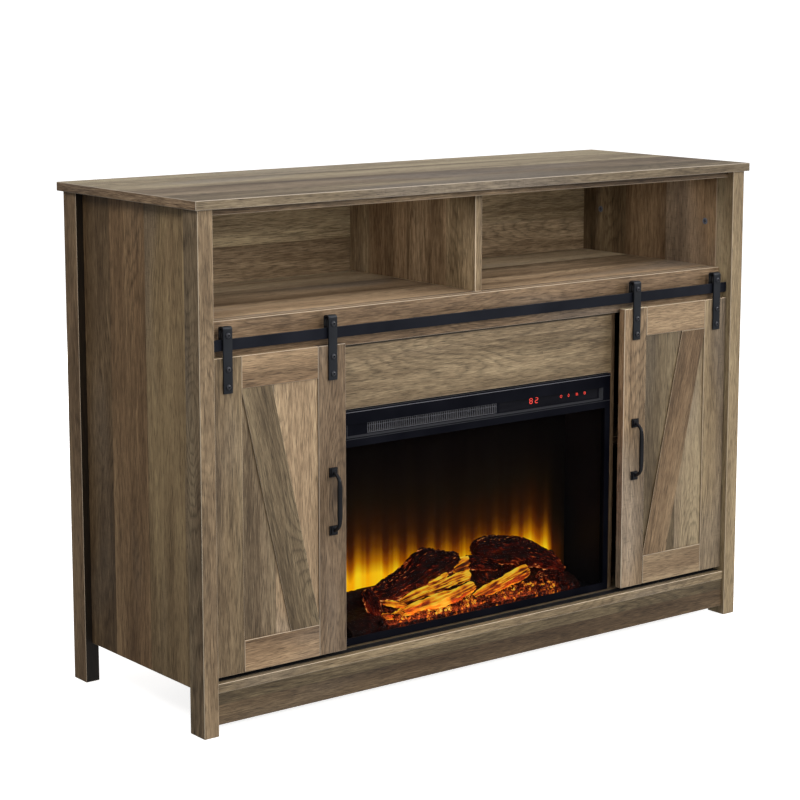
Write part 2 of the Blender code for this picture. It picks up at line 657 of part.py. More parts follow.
def build_glass_and_frame():
    back = INSERT_SETBACK + FRAME_DEPTH
    z = (INSERT_BOTTOM, FRAME_SPLIT_Z - GAP)
    frame = box("glass_frame", (-INSERT_HALF, INSERT_HALF), (INSERT_SETBACK, back), z, TRIM)
    sight = INSERT_HALF - FRAME_SIDE
    sight_z = (z[0] + FRAME_RAIL, z[1] - FRAME_RAIL)
    cut(frame, box("sight_opening", (-sight, sight), (0, 2 * back), sight_z, None, edge=0))
    lip = INSERT_SETBACK + 3 * MM
    pocket = sight + GLASS_LAP
    pocket_z = (sight_z[0] - GLASS_LAP, sight_z[1] + GLASS_LAP)
    cut(frame, box("glass_pocket", (-pocket, pocket), (lip, 2 * back), pocket_z, None, edge=0))
    glass_x = pocket - GAP
    glass_z = (pocket_z[0] + GAP, pocket_z[1] - GAP)
    glass_y = (lip + GAP, lip + GAP + GLASS_THICKNESS)
    box("front_glass", (-glass_x, glass_x), glass_y, glass_z, GLASS, edge=0)


def recess_cutter():
    """The fascia's long recess: a level ceiling, and a floor and ends that slope out to the front."""
    y = (INSERT_SETBACK - MM, INSERT_SETBACK + RECESS_DEPTH)
    cutter = box("recess", (-RECESS_HALF, RECESS_HALF), y, RECESS_Z, None, edge=0)
    for vertex in cutter.data.vertices:
        if vertex.co.y < 0:
            vertex.co.x += math.copysign(2 * RECESS_FLARE, vertex.co.x)
            if vertex.co.z < 0:
                vertex.co.z -= RECESS_FLARE
    return cutter


def build_control_fascia():
    """The fascia over the glass, with the heater outlet grille and the touch strip in its recess."""
    back = INSERT_SETBACK + FRAME_DEPTH
    z = (FRAME_SPLIT_Z, INSERT_TOP)
    fascia = box("control_fascia", (-INSERT_HALF, INSERT_HALF), (INSERT_SETBACK, back), z, TRIM)
    cut(fascia, recess_cutter())
    floor = INSERT_SETBACK + RECESS_DEPTH
    web = floor + FASCIA_WEB
    side_wall, lower_wall, upper_wall = FASCIA_WALLS
    rear_x = INSERT_HALF - side_wall
    rear_z = (z[0] + lower_wall, z[1] - upper_wall)
    cut(fascia, box("fascia_hollow", (-rear_x, rear_x), (web, 2 * back), rear_z, None, edge=0))
    opening_z = (RECESS_Z[0] + PANEL_OPENING_MARGIN, RECESS_Z[1] - PANEL_OPENING_MARGIN)
    for name, x in (("outlet", GRILLE_X), ("strip", TOUCH_X)):
        cut(fascia, box(f"{name}_opening", x, (0, 2 * back), opening_z, None, edge=0))
    plate_z = (opening_z[0] + GAP, opening_z[1] - GAP)
    plate_y = (floor + INLAY_INSET, web - INLAY_INSET)
    grille_x = (GRILLE_X[0] + GAP, GRILLE_X[1] - GAP)
    grille = box("vent_grille", grille_x, plate_y, plate_z, TRIM, edge=0)
    pitch = (grille_x[1] - grille_x[0] - 2 * GRILLE_MARGIN) / (GRILLE_SLOTS - 1)
    centres = [(grille_x[0] + GRILLE_MARGIN + number * pitch, depth(floor), sum(plate_z) / 2)
               for number in range(GRILLE_SLOTS)]
    slot = (GRILLE_SLOT_WIDTH, 4 * MM, plate_z[1] - plate_z[0] - 2 * GRILLE_RAIL)
    slots = add_object("grille_slots", box_mesh("grille_slots", slot, centres), None)
    cut(grille, slots)
    strip_x = (TOUCH_X[0] + GAP, TOUCH_X[1] - GAP)
    box("touch_strip", strip_x, plate_y, plate_z, GLOSS, edge=0)


def build_case():
    """The steel case: a lower firebox and an upper heater duct, both open at the front."""
    front = INSERT_SETBACK + FRAME_DEPTH + GAP
    case = box("insert_case", (-CASE_HALF, CASE_HALF), (front, CASE_BACK), CASE_Z, STEEL, edge=0)
    inside = CASE_HALF - CASE_SHEET
    rear = CASE_BACK - CASE_SHEET
    firebox_z = (CASE_Z[0] + CASE_SHEET, DUCT_FLOOR_Z - CASE_SHEET)
    duct_z = (DUCT_FLOOR_Z, CASE_Z[1] - CASE_SHEET)
    cut(case, box("firebox_space", (-inside, inside), (front - BOARD, rear), firebox_z, None, edge=0))
    cut(case, box("duct_space", (-inside, inside), (front - BOARD, rear), duct_z, None, edge=0))
    count, pitch, middle_x, middle_z = LOUVRES
    centres = [((number - (count - 1) / 2) * pitch + middle_x, depth(CASE_BACK), middle_z)
               for number in range(count)]
    cut(case, add_object("intake_slots", box_mesh("intake_slots", LOUVRE_SIZE, centres), None))
    radius, length = GLAND_SIZE
    boss = (GLAND_PLACE[0], depth(CASE_BACK + length / 4), GLAND_PLACE[1])
    join(case, cylinder("cord_gland", "Y", boss, radius, length, None))
    pad_bottom, pad_top = FLOOR_TOP + GAP, CASE_Z[0] + 1 * MM
    for side, sign in SIDES:
        for place, setback in zip(("front", "back"), PAD_SETBACKS):
            centre = (sign * PAD_X, depth(setback), (pad_bottom + pad_top) / 2)
            pad = cylinder(f"{side}_{place}_pad", "Z", centre, PAD_RADIUS, pad_top - pad_bottom, None)
            join(case, pad)
    add_bearing(case, "rotor", ROTOR_AXIS, CASE_Z[0])
    add_bearing(case, "blower", BLOWER_AXIS, DUCT_FLOOR_Z - CASE_SHEET)


def add_bearing(case, name, axis, base):
    """An upright plate on the case's sheet, bored for a spindle."""
    setback, height = axis
    plate_y = (setback - BEARING_HALF, setback + BEARING_HALF)
    plate_z = (base + 1 * MM, height + BEARING_HALF)
    join(case, box(f"{name}_bearing", BEARING_X, plate_y, plate_z, None, edge=0))
    centre = (sum(BEARING_X) / 2, depth(setback), height)
    bore = SPINDLE_RADIUS + BEARING_CLEARANCE
    cut(case, cylinder(f"{name}_bearing_bore", "X", centre, bore, 20 * MM, None, 16))


def build_flame_screen():
    x = CASE_HALF - CASE_SHEET - GAP
    y = (SCREEN_SETBACK, SCREEN_SETBACK + SCREEN_THICKNESS)
    z = (CASE_Z[0] + CASE_SHEET + GAP, DUCT_FLOOR_Z - CASE_SHEET - GAP)
    box("flame_screen", (-x, x), y, z, SCREEN, edge=0)


def build_ember_bed():
    """The moulded ember bed: a low front, a mound, and a riser that hides the foot of the screen."""
    base = CASE_Z[0] + CASE_SHEET + GAP
    front, back = EMBER_SETBACK
    profile = [
        (front, base), (front, base + 9 * MM), (front + 22 * MM, base + 24 * MM),
        (front + 58 * MM, base + 30 * MM), (back - 6 * MM, EMBER_RISER_Z), (back, EMBER_RISER_Z),
        (back, base),
    ]
    outline = [(depth(setback), height) for setback, height in profile]
    extruded("ember_bed", outline, 2 * EMBER_HALF, EMBER, (0, 0, 0), SIDE_VIEW)


def log_piece(name, start, end, radii):
    """A tapered log between two (X, setback, Z) points in millimetres."""
    first, second = (Vector((x * MM, depth(setback * MM), z * MM)) for x, setback, z in (start, end))
    along = second - first
    mesh = cylinder_mesh(name, radii[0] * MM, along.length, 14, radii[1] * MM)
    obj = shade_round(add_object(name, mesh, RESIN, (first + second) / 2))
    obj.rotation_mode = "QUATERNION"
    obj.rotation_quaternion = along.to_track_quat("Z", "Y")
    return obj


def build_logs():
    """Five resin logs moulded as one piece: two large ones that lean together over three small ones."""
    pieces = [log_piece(*log) for log in LOGS]
    pieces[0].name = "log_set"
    for piece in pieces[1:]:
        join(pieces[0], piece)


def build_led_board():
    base = CASE_Z[0] + CASE_SHEET + GAP
    board_z = (base, base + LED_BOARD_HEIGHT)
    board_x = (-LED_BOARD_HALF, LED_BOARD_HALF)
    board = box("led_board", board_x, LED_BOARD_SETBACKS, board_z, BOARD_GREEN, edge=0)
    count, pitch, height = LEDS
    led_y = depth(LED_BOARD_SETBACKS[1] + LED_SIZE[1] / 4)
    centres = [((number - (count - 1) / 2) * pitch, led_y, base + height) for number in range(count)]
    join(board, add_object("leds", box_mesh("leds", LED_SIZE, centres), None))


def motor(name, start, size, axis, floor):
    """A round motor on a foot that stands on the floor under it."""
    length, radius = size
    setback, height = axis
    centre_x = start + length / 2
    body = cylinder(name, "X", (centre_x, depth(setback), height), radius, length, ZINC)
    foot_x = (start + MOTOR_FOOT_INSET, start + length - MOTOR_FOOT_INSET)
    foot_y = (setback - 0.7 * radius, setback + 0.7 * radius)
    join(body, box(f"{name}_foot", foot_x, foot_y, (floor, height - 0.6 * radius), None, edge=0))


def build_flame_rotor():
    """A spindle of reflector blades that throws flickering light on the screen, and its motor."""
    setback, height = ROTOR_AXIS
    axis = ((SPINDLE_END + ROTOR_HALF) / 2, depth(setback), height)
    rotor = cylinder("flame_rotor", "X", axis, SPINDLE_RADIUS, ROTOR_HALF - SPINDLE_END, MIRROR, 12)
    pitch = 2 * ROTOR_HALF / (ROTOR_BLADES + 1)
    for number in range(ROTOR_BLADES):
        place = (-ROTOR_HALF + (number + 1) * pitch, axis[1], axis[2])
        turn = (math.radians(number * ROTOR_BLADE_TURN), 0, 0)
        mesh = box_mesh("blade", (*ROTOR_BLADE, 2 * ROTOR_RADIUS))
        join(rotor, add_object(f"rotor_blade_{number}", mesh, None, place, turn))
    motor("rotor_motor", ROTOR_HALF + GAP, ROTOR_MOTOR, ROTOR_AXIS, CASE_Z[0] + CASE_SHEET + GAP)


def build_blower():
    """The crossflow fan behind the outlet grille, with its motor and the heater element before it."""
    setback, height = BLOWER_AXIS
    start, end = BLOWER_X
    axis_y = depth(setback)
    centre = ((SPINDLE_END + end) / 2, axis_y, height)
    hub = cylinder("blower_wheel", "X", centre, SPINDLE_RADIUS, end - SPINDLE_END, ZINC, 12)
    inset = BLOWER_DISC_INSET
    for number, x in enumerate((start + inset, (start + end) / 2, end - inset)):
        disc = cylinder(f"blower_disc_{number}", "X", (x, axis_y, height), BLOWER_RADIUS, 2 * MM, None, 28)
        join(hub, disc)
    slat_ring = bpy.data.meshes.new("blower_slats")
    bm = bmesh.new()
    size = (end - start - 2 * inset, *BLOWER_SLAT)
    for number in range(BLOWER_SLATS):
        turn = Matrix.Rotation(number * 2 * math.pi / BLOWER_SLATS, 4, "X")
        out = Matrix.Translation((0, 0, BLOWER_RADIUS - 0.64 * BLOWER_SLAT[1]))
        bmesh.ops.create_cube(bm, size=1, matrix=turn @ out @ Matrix.Diagonal((*size, 1)))
    bm.to_mesh(slat_ring)
    bm.free()
    join(hub, add_object("blower_slats", slat_ring, None, ((start + end) / 2, axis_y, height)))
    motor("blower_motor", end + GAP, BLOWER_MOTOR, BLOWER_AXIS, DUCT_FLOOR_Z + GAP)


def build_heater():
    """An open ceramic frame with upright fins, between the fan and the grille."""
    x, z = (GRILLE_X[0] + 6 * MM, GRILLE_X[1] - 6 * MM), (DUCT_FLOOR_Z + 1 * MM, HEATER_TOP)
    y = HEATER_SETBACKS
    frame = box("heater_element", x, y, z, CERAMIC, edge=0)
    fin = HEATER_RIM / 2
    clear_width = (x[1] - x[0] - (HEATER_WINDOWS + 1) * fin) / HEATER_WINDOWS
    centres = [(x[0] + fin + clear_width / 2 + number * (clear_width + fin), depth(sum(y) / 2), sum(z) / 2)
               for number in range(HEATER_WINDOWS)]
    size = (clear_width, 4 * (y[1] - y[0]), z[1] - z[0] - 2 * HEATER_RIM)
    cut(frame, add_object("heater_windows", box_mesh("heater_windows", size, centres), None))


def main():
    build_top()
    build_posts_and_sides()
    build_shelves_and_front_boards()
    build_bottom_shelf()
    build_partitions()
    build_compartment_shelves()
    build_back_sheet()
    build_track()
    build_guide_channel()
    for side, sign in SIDES:
        build_door(side, sign)
    build_glass_and_frame()
    build_control_fascia()
    build_case()
    build_flame_screen()
    build_ember_bed()
    build_logs()
    build_led_board()
    build_flame_rotor()
    build_blower()
    build_heater()


main()
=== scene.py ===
"""Looks of an electric fireplace console with two sliding barn doors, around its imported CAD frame.

Metres, +Z up, the front faces -Y. Places come from the boxes of the CAD nodes. A setback is a distance
behind the front faces of the two front posts.
"""

import math
import random

import bmesh
import bpy
from mathutils import Matrix, Vector, noise


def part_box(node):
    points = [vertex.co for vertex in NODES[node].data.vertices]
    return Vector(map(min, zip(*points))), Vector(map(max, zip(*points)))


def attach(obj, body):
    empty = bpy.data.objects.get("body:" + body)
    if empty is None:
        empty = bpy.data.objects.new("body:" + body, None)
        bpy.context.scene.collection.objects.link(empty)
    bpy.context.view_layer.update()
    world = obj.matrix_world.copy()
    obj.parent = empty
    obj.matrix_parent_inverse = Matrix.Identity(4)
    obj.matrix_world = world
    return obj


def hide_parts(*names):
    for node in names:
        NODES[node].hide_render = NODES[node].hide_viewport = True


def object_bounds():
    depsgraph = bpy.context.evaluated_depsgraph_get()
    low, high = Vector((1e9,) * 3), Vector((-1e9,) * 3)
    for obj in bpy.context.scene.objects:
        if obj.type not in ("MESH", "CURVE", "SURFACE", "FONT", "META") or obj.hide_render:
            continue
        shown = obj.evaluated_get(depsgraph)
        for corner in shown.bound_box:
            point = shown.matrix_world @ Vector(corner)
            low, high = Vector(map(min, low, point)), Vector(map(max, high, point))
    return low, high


MM = 0.001
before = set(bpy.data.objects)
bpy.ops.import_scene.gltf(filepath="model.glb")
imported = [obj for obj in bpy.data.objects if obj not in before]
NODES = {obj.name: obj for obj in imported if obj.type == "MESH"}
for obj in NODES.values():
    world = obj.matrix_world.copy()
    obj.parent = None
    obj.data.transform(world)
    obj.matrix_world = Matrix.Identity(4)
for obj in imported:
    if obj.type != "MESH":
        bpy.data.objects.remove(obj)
cad_box = [list(corner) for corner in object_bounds()]

POST_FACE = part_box("front_left_post")[0].y
GAP = 0.3 * MM  # joint line between touching pieces
CASE_REAR = POST_FACE + 250 * MM  # outer face of the firebox case's back
SIDES = (("left", -1), ("right", 1))


def behind(setback):
    """The Y of a point this far behind the posts' front faces."""
    return POST_FACE + setback


# -------- node helpers


class Graph:
    """Short calls for adding and joining the nodes of one tree."""

    def __init__(self, tree):
        self.tree = tree
        self.shader = tree.nodes.get("Principled BSDF")

    def feed(self, socket, value):
        if isinstance(value, bpy.types.NodeSocket):
            self.tree.links.new(value, socket)
        else:
            socket.default_value = value

    def node(self, kind, settings=None, **inputs):
        made = self.tree.nodes.new(kind)
        for key, value in (settings or {}).items():
            setattr(made, key, value)
        for key, value in inputs.items():
            self.feed(made.inputs[key.replace("_", " ")], value)
        return made

    def set(self, **values):
        """Feeds sockets of the look's Principled shader."""
        for key, value in values.items():
            self.feed(self.shader.inputs[key.replace("_", " ")], value)

    def coords(self, kind="Object"):
        return self.node("ShaderNodeTexCoord").outputs[kind]

    def math(self, operation, *values):
        made = self.node("ShaderNodeMath", {"operation": operation})
        for socket, value in zip(made.inputs, values):
            self.feed(socket, value)
        return made.outputs[0]

    def times(self, first, second):
        return self.math("MULTIPLY", first, second)

    def plus(self, first, second):
        return self.math("ADD", first, second)

    def times_plus(self, first, second, third):
        return self.math("MULTIPLY_ADD", first, second, third)

    def mix(self, factor, first, second, blend="MIX"):
        made = self.node("ShaderNodeMix", {"data_type": "RGBA", "blend_type": blend})
        for index, value in ((0, factor), (6, first), (7, second)):
            self.feed(made.inputs[index], value)
        return made.outputs[2]

    def tinted(self, color, tint, share=1.0):
        """The color times a tint, or a share of the way there."""
        return self.mix(share, color, tint, "MULTIPLY")

    def ramp(self, factor, stops, interpolation="LINEAR"):
        made = self.node("ShaderNodeValToRGB")
        ramp = made.color_ramp
        ramp.interpolation = interpolation
        while len(ramp.elements) < len(stops):
            ramp.elements.new(1.0)
        for element, (position, color) in zip(ramp.elements, stops):
            element.position = position
            element.color = (*color, 1.0) if isinstance(color, tuple) else (color, color, color, 1.0)
        self.feed(made.inputs[0], factor)
        return made.outputs[0]

    def span(self, value, low, high, to_low=0.0, to_high=1.0, smooth=False):
        """The value moved from one range to another, and kept inside it."""
        kind = "SMOOTHSTEP" if smooth else "LINEAR"
        made = self.node("ShaderNodeMapRange", {"clamp": True, "interpolation_type": kind})
        for socket, number in zip(made.inputs, (value, low, high, to_low, to_high)):
            self.feed(socket, number)
        return made.outputs[0]

    def scaled(self, vector, scale, location=(0, 0, 0), rotation=(0, 0, 0)):
        return self.node("ShaderNodeMapping", Vector=vector, Location=location, Rotation=rotation,
                         Scale=scale).outputs[0]

    def noise(self, vector, detail=2.0, roughness=0.5, scale=1.0):
        return self.node("ShaderNodeTexNoise", Vector=vector, Scale=scale, Detail=detail,
                         Roughness=roughness).outputs["Fac"]

    def grain(self, vector, scale, detail=2.0, roughness=0.5, **moved):
        """Noise with its own scale along each axis."""
        return self.noise(self.scaled(vector, scale, **moved), detail, roughness)

    def split(self, vector):
        return self.node("ShaderNodeSeparateXYZ", Vector=vector).outputs

    def join(self, x, y, z):
        return self.node("ShaderNodeCombineXYZ", X=x, Y=y, Z=z).outputs[0]

    def edge_mask(self):
        """1 on chamfers and rounded edges, 0 on faces that look along an axis."""
        normal = self.split(self.coords("Normal"))
        sizes = [self.math("ABSOLUTE", part) for part in normal]
        largest = self.math("MAXIMUM", self.math("MAXIMUM", sizes[0], sizes[1]), sizes[2])
        return self.math("LESS_THAN", largest, 0.93)

    def bump(self, height, distance, strength=0.5):
        made = self.node("ShaderNodeBump", Strength=strength, Distance=distance, Height=height)
        self.set(Normal=made.outputs[0])


def new_look(name):
    material = bpy.data.materials.new(name)
    material.use_nodes = True
    return material, Graph(material.node_tree)


# -------- the oak print


PLANK = 112 * MM  # width of one printed plank


def make_oak_print():
    """The laminate's printed oak: X of the vector runs along the grain, Y across the board."""
    tree = bpy.data.node_groups.new("oak_print", "ShaderNodeTree")
    for name, kind in (("Vector", "NodeSocketVector"), ("Board", "NodeSocketFloat")):
        tree.interface.new_socket(name, in_out="INPUT", socket_type=kind)
    for name, kind in (("Color", "NodeSocketColor"), ("Height", "NodeSocketFloat")):
        tree.interface.new_socket(name, in_out="OUTPUT", socket_type=kind)
    g = Graph(tree)
    given = g.node("NodeGroupInput").outputs
    along, across, through = g.split(given["Vector"])[:3]
    board = given["Board"]

    # Each plank of the print has its own tone and its own stretch of figure.
    place = g.plus(g.math("DIVIDE", across, PLANK), g.times(board, 0.37))
    cell = g.math("FLOOR", place)
    chance = g.node("ShaderNodeTexWhiteNoise", {"noise_dimensions": "2D"}, Vector=g.join(cell, board, 0.0))
    tone, pick = chance.outputs["Value"], g.split(chance.outputs["Color"])
    shifted = g.plus(along, g.times(pick[0], 7.0))
    deep = g.plus(through, g.times_plus(board, 1.3, g.times(pick[1], 3.0)))
    spot = g.join(shifted, across, deep)

    band = g.grain(spot, (1.6, 17, 17), 2.0, 0.5)
    streak = g.grain(spot, (7.0, 110, 110), 3.0, 0.62)
    fine = g.grain(spot, (34, 640, 640), 3.0, 0.7)
    pores = g.grain(spot, (44, 900, 900), 2.0, 0.6)
    drift = g.grain(spot, (0.7, 12, 12), 1.0, location=(4.0, 2.0, 0.0))
    hue = g.times_plus(drift, 0.35, g.times_plus(pick[2], 0.65, 0.02))
    patch = g.span(g.grain(spot, (2.0, 8, 8), 1.5), 0.57, 0.72, smooth=True)

    # Knots push the growth rings aside and have a dark heart.
    cells = g.node("ShaderNodeTexVoronoi", Vector=g.scaled(spot, (2.2, 7.5, 7.5)), Scale=1.0,
                   Randomness=0.9).outputs
    reach, knot_chance = cells["Distance"], g.split(cells["Color"])[0]
    chosen = g.math("GREATER_THAN", knot_chance, 0.60)
    swell = g.times(g.span(reach, 0.42, 0.0, smooth=True), chosen)
    heart = g.times(g.span(reach, 0.065, 0.02, smooth=True), chosen)

    figure = g.grain(spot, (2.1, 9, 9), 1.0, 0.4)
    count = g.times_plus(swell, 5.0, g.times(figure, 24.0))
    ring = g.math("FRACT", g.times_plus(streak, 1.6, count))
    rings = g.ramp(ring, [(0.0, 0.50), (0.12, 0.70), (0.34, 0.98), (0.80, 1.06), (1.0, 0.74)])
    shown = g.span(g.grain(spot, (1.6, 11, 11), 1.0, location=(9.0, 0.0, 5.0)), 0.42, 0.62)
    rings = g.mix(g.math("MAXIMUM", g.times(shown, 0.85), swell), (1.0, 1.0, 1.0, 1.0), rings)

    level = g.times_plus(tone, 0.42, -0.76)
    for layer, weight in ((band, 0.82), (streak, 0.42), (fine, 0.86)):
        level = g.times_plus(layer, weight, level)
    wood = g.ramp(level, [
        (0.16, (0.052, 0.033, 0.019)), (0.36, (0.115, 0.080, 0.049)), (0.50, (0.180, 0.131, 0.084)),
        (0.64, (0.262, 0.197, 0.130)), (0.86, (0.400, 0.317, 0.212)),
    ])
    cast = g.ramp(hue, [(0.30, (1.045, 0.95, 0.85)), (0.5, (1.0, 0.985, 0.93)), (0.70, (0.98, 1.0, 0.91))])
    wood = g.tinted(g.tinted(wood, cast), rings)
    grey = g.tinted((0.190, 0.160, 0.131, 1.0), g.span(level, 0.3, 0.7, 0.65, 1.25))
    wood = g.mix(g.times(patch, 0.45), wood, grey)

    # Saw marks run across the grain where the print is weathered.
    tilted = g.scaled(spot, (300, 60, 60), rotation=(0, 0, 0.12))
    saw = g.span(g.noise(tilted, 2.0, 0.7), 0.34, 0.44, 0.62, 1.03)
    wood = g.tinted(wood, saw, g.times(patch, 0.5))
    wood = g.tinted(wood, g.span(pores, 0.30, 0.48, 0.34, 1.04))
    wood = g.mix(g.times(heart, 0.8), wood, (0.045, 0.027, 0.016, 1.0))

    # A fine dark line stands between two planks, and the chamfered edges get a painted highlight: a paler
    # colour where light would catch them.
    inside = g.math("ABSOLUTE", g.math("SUBTRACT", g.math("FRACT", place), 0.5))
    seam = g.math("GREATER_THAN", inside, 0.494)
    wood = g.mix(g.times(seam, 0.30), wood, (0.06, 0.04, 0.028, 1.0))
    wood = g.mix(g.times(g.edge_mask(), 0.8), wood, (0.50, 0.42, 0.325, 1.0))

    height = g.times_plus(rings, 0.5, g.times(pores, 0.5))
    result = g.node("NodeGroupOutput")
    g.feed(result.inputs["Color"], wood)
    g.feed(result.inputs["Height"], height)
    return tree


OAK_PRINT = make_oak_print()
# Painted shadow for front faces that lie in shade
PAINTED_REVEAL_SHADOW = (0.10, 0.09, 0.08, 1.0)
JOINT_SHADOW = (0.010, 0.008, 0.006, 1.0)
AXES = "XYZ"


def oak(name, grain, across, board, tint=(1.0, 1.0, 1.0), tilt=0.0, painted_front_shadow=False, band=1.0,
        shade_line=None):
    """Rustic oak laminate with its grain along one axis, turned about Y by the tilt.

    Front faces can be darkened with a painted shadow, as on the back posts beside the side panels, whose
    front faces lie in shade. The band is how much paler the board's ends are made, a painted light where
    little light falls on them. Above its shade line a board lies in the shadow of the next one.
    """
    material, g = new_look(name)
    place = g.coords()
    if tilt:
        place = g.scaled(place, (1, 1, 1), rotation=(0, tilt, 0))
    parts = g.split(place)
    other = next(axis for axis in AXES if axis not in (grain, across))
    u, v, w = (parts[AXES.index(axis)] for axis in (grain, across, other))
    normal = g.split(g.coords("Normal"))
    ends = g.math("GREATER_THAN", g.math("ABSOLUTE", normal[AXES.index(grain)]), 0.9)
    vector = g.node("ShaderNodeMix", {"data_type": "VECTOR"})
    for index, value in ((0, ends), (4, g.join(u, v, w)), (5, g.join(v, w, u))):
        g.feed(vector.inputs[index], value)
    vector = vector.outputs[1]
    printed = g.node("ShaderNodeGroup", {"node_tree": OAK_PRINT}, Vector=vector,
                     Board=float(board)).outputs
    color = g.tinted(printed["Color"], (*tint, 1.0))
    # Painted light: the band makes the board's ends paler.
    if band != 1.0:
        color = g.tinted(color, (band, band, band, 1.0), ends)
    if painted_front_shadow:
        # Painted shadow: front faces are darkened where the real faces lie in shade.
        color = g.tinted(color, PAINTED_REVEAL_SHADOW, g.math("LESS_THAN", normal[1], -0.9))
    if shade_line is not None:
        shade = g.span(parts[2], shade_line - 1.5 * MM, shade_line, 0.0, 0.88)
        color = g.mix(shade, color, JOINT_SHADOW)
    g.set(Base_Color=color, Roughness=g.span(printed["Height"], 0.3, 0.9, 0.66, 0.50))
    g.set(Specular_IOR_Level=0.35)
    g.bump(printed["Height"], 0.35 * MM, 0.6)
    return material


# -------- other finishes


def coated(name, color, roughness, grain=1500, depth=0.03, edge_wear_and_highlight=0.25, streaks=(1, 1, 1), gloss=0.5,
           metallic=0.0):
    """Paint, moulded plastic or plated metal: fine texture, uneven gloss and paler edges,
    partly wear and partly a painted highlight.
    """
    material, g = new_look(name)
    place = g.coords()
    fine = g.noise(g.scaled(place, tuple(grain * s for s in streaks)), 3.0, 0.6)
    cloud = g.noise(place, 2.0, 0.5, 14.0)
    dark = tuple(0.72 * part for part in color)
    pale = tuple(min(1.0, 1.30 * part + 0.004) for part in color)
    shade = g.ramp(g.times_plus(cloud, 0.6, g.times(fine, 0.4)), [(0.3, dark), (0.7, pale)])
    # Paler edges: partly wear, partly a painted highlight on chamfers and rounded edges.
    worn_and_highlit = tuple(min(1.0, 1.6 * part + 0.03) for part in color)
    shade = g.mix(g.times(g.edge_mask(), edge_wear_and_highlight), shade, (*worn_and_highlit, 1.0))
    g.set(Base_Color=shade, Roughness=g.span(cloud, 0.3, 0.7, roughness - 0.05, roughness + 0.07))
    g.set(Metallic=metallic, Specular_IOR_Level=gloss)
    g.bump(fine, depth * MM)
    return material


def paint_outside(material, outer_layers, kind, edge, noise_settings):
    """Repaints a finished look where the Y of its place, or of its normal, is past an edge."""
    g = Graph(material.node_tree)
    inner = g.shader.inputs["Base Color"].links[0].from_socket
    outer = g.ramp(g.noise(g.coords(), *noise_settings), outer_layers)
    outside = g.math("GREATER_THAN", g.split(g.coords(kind))[1], edge)
    g.set(Base_Color=g.mix(outside, inner, outer))
    return material


def hardboard():
    """The back sheet: oak print on its inner face, bare brown fibre on the outer one."""
    # Painted light: the tint makes the back sheet paler where it shows at the back of the bays.
    printed = oak("back_sheet_oak", "X", "Z", 31, (1.26, 1.24, 1.22))
    fibres = [(0.3, (0.17, 0.105, 0.058)), (0.55, (0.27, 0.175, 0.10)), (0.75, (0.36, 0.25, 0.155))]
    return paint_outside(printed, fibres, "Normal", 0.5, (5.0, 0.75, 160.0))


def case_steel():
    """The firebox case: matt black inside, where the fire shows, and satin grey paint on its back."""
    black = coated("case_steel", (0.004, 0.004, 0.0045), 0.55, 900, 0.05, 0.2, gloss=0.08)
    grey = [(0.3, (0.040, 0.041, 0.043)), (0.7, (0.062, 0.063, 0.066))]
    return paint_outside(black, grey, "Object", CASE_REAR - 0.5 * MM, (3.0, 0.6, 30.0))


def glossy(name, scale, dark, pale, roughness, **values):
    """A near black gloss surface whose color and roughness drift a little."""
    material, g = new_look(name)
    haze = g.grain(g.coords(), scale, 2.0)
    g.set(Base_Color=g.ramp(haze, [dark, pale]), Roughness=g.span(haze, 0.3, 0.7, *roughness), **values)
    return material


def indicator():
    """Red light behind the display's marks, a little uneven as it is in print."""
    material, g = new_look("red_indicator")
    uneven = g.noise(g.coords(), 1.0, 0.5, 900.0)
    g.set(Base_Color=g.ramp(uneven, [(0.3, (0.20, 0.01, 0.01)), (0.7, (0.30, 0.02, 0.02))]),
          Emission_Color=g.ramp(uneven, [(0.3, (1.0, 0.035, 0.02)), (0.7, (1.0, 0.09, 0.05))]),
          Emission_Strength=1.0)
    return material


STREAK_PITCH = 39.5 * MM  # spacing of the lamps that throw the flames
FLAME_FOOT = 158 * MM
FLAME_REACH_X = 298 * MM  # the flames' picture and the lit bed end this far out on either side
BED_REACH_X = 262 * MM
FLAME_COLORS = (  # at each level of light: between the streaks, and in them
    (0.0, 0.0, 0.0),
    (0.055, (0.0050, 0.0022, 0.0), (0.0056, 0.0025, 0.0)),
    (0.10, (0.0125, 0.0032, 0.0), (0.015, 0.0050, 0.0)),
    (0.18, (0.026, 0.0055, 0.0), (0.042, 0.0120, 0.0)),
    (0.31, (0.085, 0.0155, 0.0), (0.145, 0.042, 0.0)),
    (0.56, (0.34, 0.080, 0.0), (0.50, 0.190, 0.0)),
    (1.0, (1.0, 0.42, 0.001), (1.0, 0.66, 0.010)),
)


